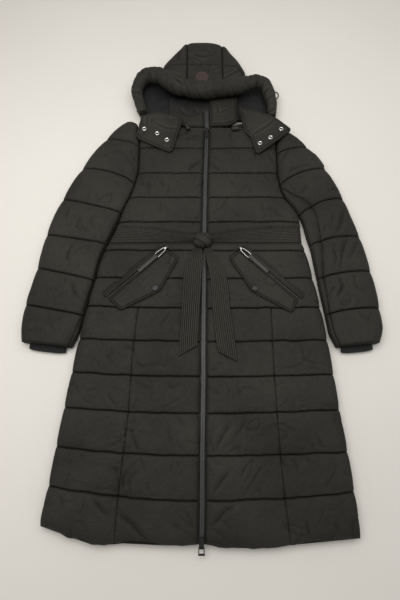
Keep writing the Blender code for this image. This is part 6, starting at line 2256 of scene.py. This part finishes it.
@dataclass
class SleevePatch:
    """Bare patch that stands on the right sleeve's outer edge, its corners round and its edge sewn."""

    sleeve: Sleeve
    span: Place = (2.5, 3.7)
    heights: Place = (6.0, 25.0)
    corner: float = 4.0
    corner_start: float = 0.8
    stand: float = 1.0
    steps: int = 40
    # Shares of its height, and how far it stands out there.
    profile: tuple[Place, ...] = (
        (0.0, 0.0), (0.0, 1.0), (0.1, 1.5), (0.2, 1.0), (0.5, 1.1), (0.8, 1.0), (0.9, 1.5), (1.0, 1.0),
        (1.0, 0.0))

    def build(self) -> None:
        """Build the patch."""
        place = np.linspace(self.span[0], self.span[1], self.steps)
        x, y = self.sleeve.fields["outer_x"](place), self.sleeve.fields["outer_y"](place)
        way = np.stack((np.gradient(x), np.gradient(y)), -1)
        way /= np.linalg.norm(way, axis=1, keepdims=True)
        out = np.stack((-way[:, 1], way[:, 0]), -1)
        rounding = climb(self.corner_start, 1.0, np.abs(np.linspace(-1.0, 1.0, self.steps)))
        low = self.heights[0] + self.corner * rounding ** 2
        high = self.heights[1] - self.corner * rounding ** 2
        rings = []
        for up, thick in self.profile:
            flat = np.stack((x, y), -1) + out * (self.stand + thick)
            rings.append(np.column_stack((flat, mix(low, high, up))))
        skin = Skin.through(np.stack(rings, axis=1))
        item = dress(skin.build("sleeve_patch_cloth", Look.PATCH), Look.PATCH, ["sleeve_patch"])


@dataclass(frozen=True)
class Refinished:
    """Solids of the frame whose shape stays, with a better finish."""

    look: Look
    nodes: tuple[str, ...]

    def apply(self) -> None:
        """Give each solid the finish."""
        for node in self.nodes:
            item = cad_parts[node]
            item.data.materials.clear()
            item.data.materials.append(Finishes.of(self.look))
            LOG.info("%s keeps its shape", node)


REFINISHED = (
    Refinished(Look.BLACK_METAL, (
        "zip_top_slider", "zip_top_pull", "zip_bottom_slider", "zip_bottom_pull", "left_pocket_slider",
        "right_pocket_slider", "left_pocket_snap", "right_pocket_snap")),
    Refinished(Look.BLACK_PLASTIC, ("left_cord_lock", "right_cord_lock")),
    Refinished(Look.SILVER, tuple(
        f"{side}_hood_snap_{number}" for side in ("left", "right") for number in (1, 2, 3))),
)


# Studio


@dataclass
class Studio:
    """Pale floor, soft light and the camera."""

    camera_place: Spot = (0.0, -0.497, 0.96)
    camera_tilt: float = 19.0
    lens: float = 24.06
    sensor: float = 36.0
    floor_reach: float = 4.0

    def build(self) -> None:
        """Set the floor, the lights and the camera."""
        self.floor()
        self.area("key", (-0.44, -0.01, 1.2), (-0.44, 0.0, 0.0), 0.9, 8.8, (1.0, 0.975, 0.935))
        self.area("fill", (0.42, 0.32, 1.22), (0.42, 0.33, 0.0), 1.2, 6.7, (1.0, 0.985, 0.96))
        world = bpy.data.worlds.new("studio_air")
        world.use_nodes = True
        world.node_tree.nodes["Background"].inputs["Color"].default_value = (1.0, 0.985, 0.955, 1.0)
        world.node_tree.nodes["Background"].inputs["Strength"].default_value = 0.5
        bpy.context.scene.world = world
        bpy.context.scene.view_settings.view_transform = "Standard"
        data = bpy.data.cameras.new("camera")
        data.lens, data.sensor_width = self.lens, self.sensor
        data.clip_start, data.clip_end = 0.01, 50.0
        camera = bpy.data.objects.new("camera", data)
        camera.location = self.camera_place
        camera.rotation_euler = (math.radians(self.camera_tilt), 0.0, 0.0)
        bpy.context.scene.collection.objects.link(camera)
        bpy.context.scene.camera = camera

    def floor(self) -> None:
        """Lay the floor just under the coat."""
        reach = self.floor_reach / MM
        corners = np.array([(-reach, -reach, -0.2), (reach, -reach, -0.2), (reach, reach, -0.2),
                            (-reach, reach, -0.2)])
        item = Skin(corners, [np.array([[0, 1, 2, 3]])]).build("studio_floor", Look.FLOOR)

    @staticmethod
    def area(name: str, place: Spot, aim: Spot, size: float, power: float, tint: Spot) -> None:
        """Hang a square soft light.

        Args:
            name: Name of the light.
            place: Where it hangs, in metres.
            aim: Where it points, in metres.
            size: Length of its side, in metres.
            power: Its power in watts.
            tint: Its colour.
        """
        data = bpy.data.lights.new(name, "AREA")
        data.size, data.energy, data.color = size, power, tint
        item = bpy.data.objects.new(name, data)
        item.location = place
        item.rotation_euler = (Vector(aim) - Vector(place)).to_track_quat("-Z", "Y").to_euler()
        bpy.context.scene.collection.objects.link(item)


def main() -> None:
    """Build the coat piece by piece."""
    logging.basicConfig(level=logging.INFO, format="%(name)s %(message)s")
    Studio().build()
    quilt = Quilt()
    presses = (
        Press(LEFT_POCKET_FLAP, 26.3, 0.5), Press(RIGHT_POCKET_FLAP, 26.3, 0.5),
        Press(LEFT_WELT, 26.3, 0.5), Press(RIGHT_WELT, 26.3, 0.5),
        Press(((-260, 27), (-177, 24), (-122, 18), (-78, 10), (-34, 2), (7, 2), (46, 2), (78, 10), (115, 15),
               (188, 21), (290, 26), (290, -17), (188, -18), (46, -17), (-34, -17), (-122, -17), (-260, -18)),
              23.3, 0.55),
    )
    Fronts(quilt, presses).build()
    BackPanel(quilt).build()
    Sleeve(Side.LEFT, quilt, LEFT_SLEEVE, (
        Fold(((-325, -22), (-337, -55), (-334, -79)), 3.0, 6.0),
        Fold(((-338, -114), (-331, -134)), 2.2, 5.0),
        Fold(((-323, -122), (-308, -161), (-281, -184)), 2.4, 6.0),
        Fold(((-348, 82), (-352, 47)), 1.8, 5.0),
        Fold(((-317, 47), (-322, 21)), 1.8, 5.0),
        Fold(((-222, 37), (-206, 28)), 1.6, 5.0),
        Fold(((-194, 236), (-180, 193)), 1.6, 5.0),
        Fold(((-226, 181), (-222, 195), (-206, 202)), 2.0, 4.5),
        Fold(((-194, 270), (-178, 218)), 1.8, 4.5),
        Fold(((-260, 292), (-227, 280)), 1.6, 4.5),
    )).build()
    right_sleeve = Sleeve(Side.RIGHT, quilt, RIGHT_SLEEVE, (
        Fold(((219, 220), (234, 246), (260, 280)), 2.2, 5.0),
        Fold(((239, 189), (258, 204), (299, 218)), 2.2, 5.0),
        Fold(((246, 176), (268, 196), (286, 204)), 2.0, 5.0),
        Fold(((243, 156), (264, 119)), 2.2, 5.0),
        Fold(((294, 150), (265, 119)), 2.4, 5.0),
        Fold(((259, 56), (295, 70)), 2.2, 5.0),
        Fold(((385, 89), (365, 26), (347, -5)), 3.4, 6.0),
        Fold(((345, -15), (341, -38), (345, -70), (331, -102)), 2.6, 5.0),
        Fold(((402, 26), (373, -21), (356, -70), (348, -106)), 2.8, 6.0),
        Fold(((413, 24), (399, -33), (375, -70)), 2.0, 5.0),
        Fold(((352, 65), (342, 26)), 1.6, 5.0),
        Fold(((327, 39), (320, 4)), 1.6, 5.0),
        Fold(((329, -115), (332, -142), (309, -174)), 3.2, 5.0),
        Fold(((347, -115), (353, -142), (333, -176)), 2.8, 5.0),
    ))
    right_sleeve.build()
    SleevePatch(right_sleeve).build()
    Hood().build()
    Collar().build()
    Pockets().build()
    for side in Side:
        ZipTape(side, quilt).build()
    Belt(quilt).build()
    ThreadLoop().build()
    CordLoop().build()
    for group in REFINISHED:
        group.apply()


if __name__ == "__main__":
    main()
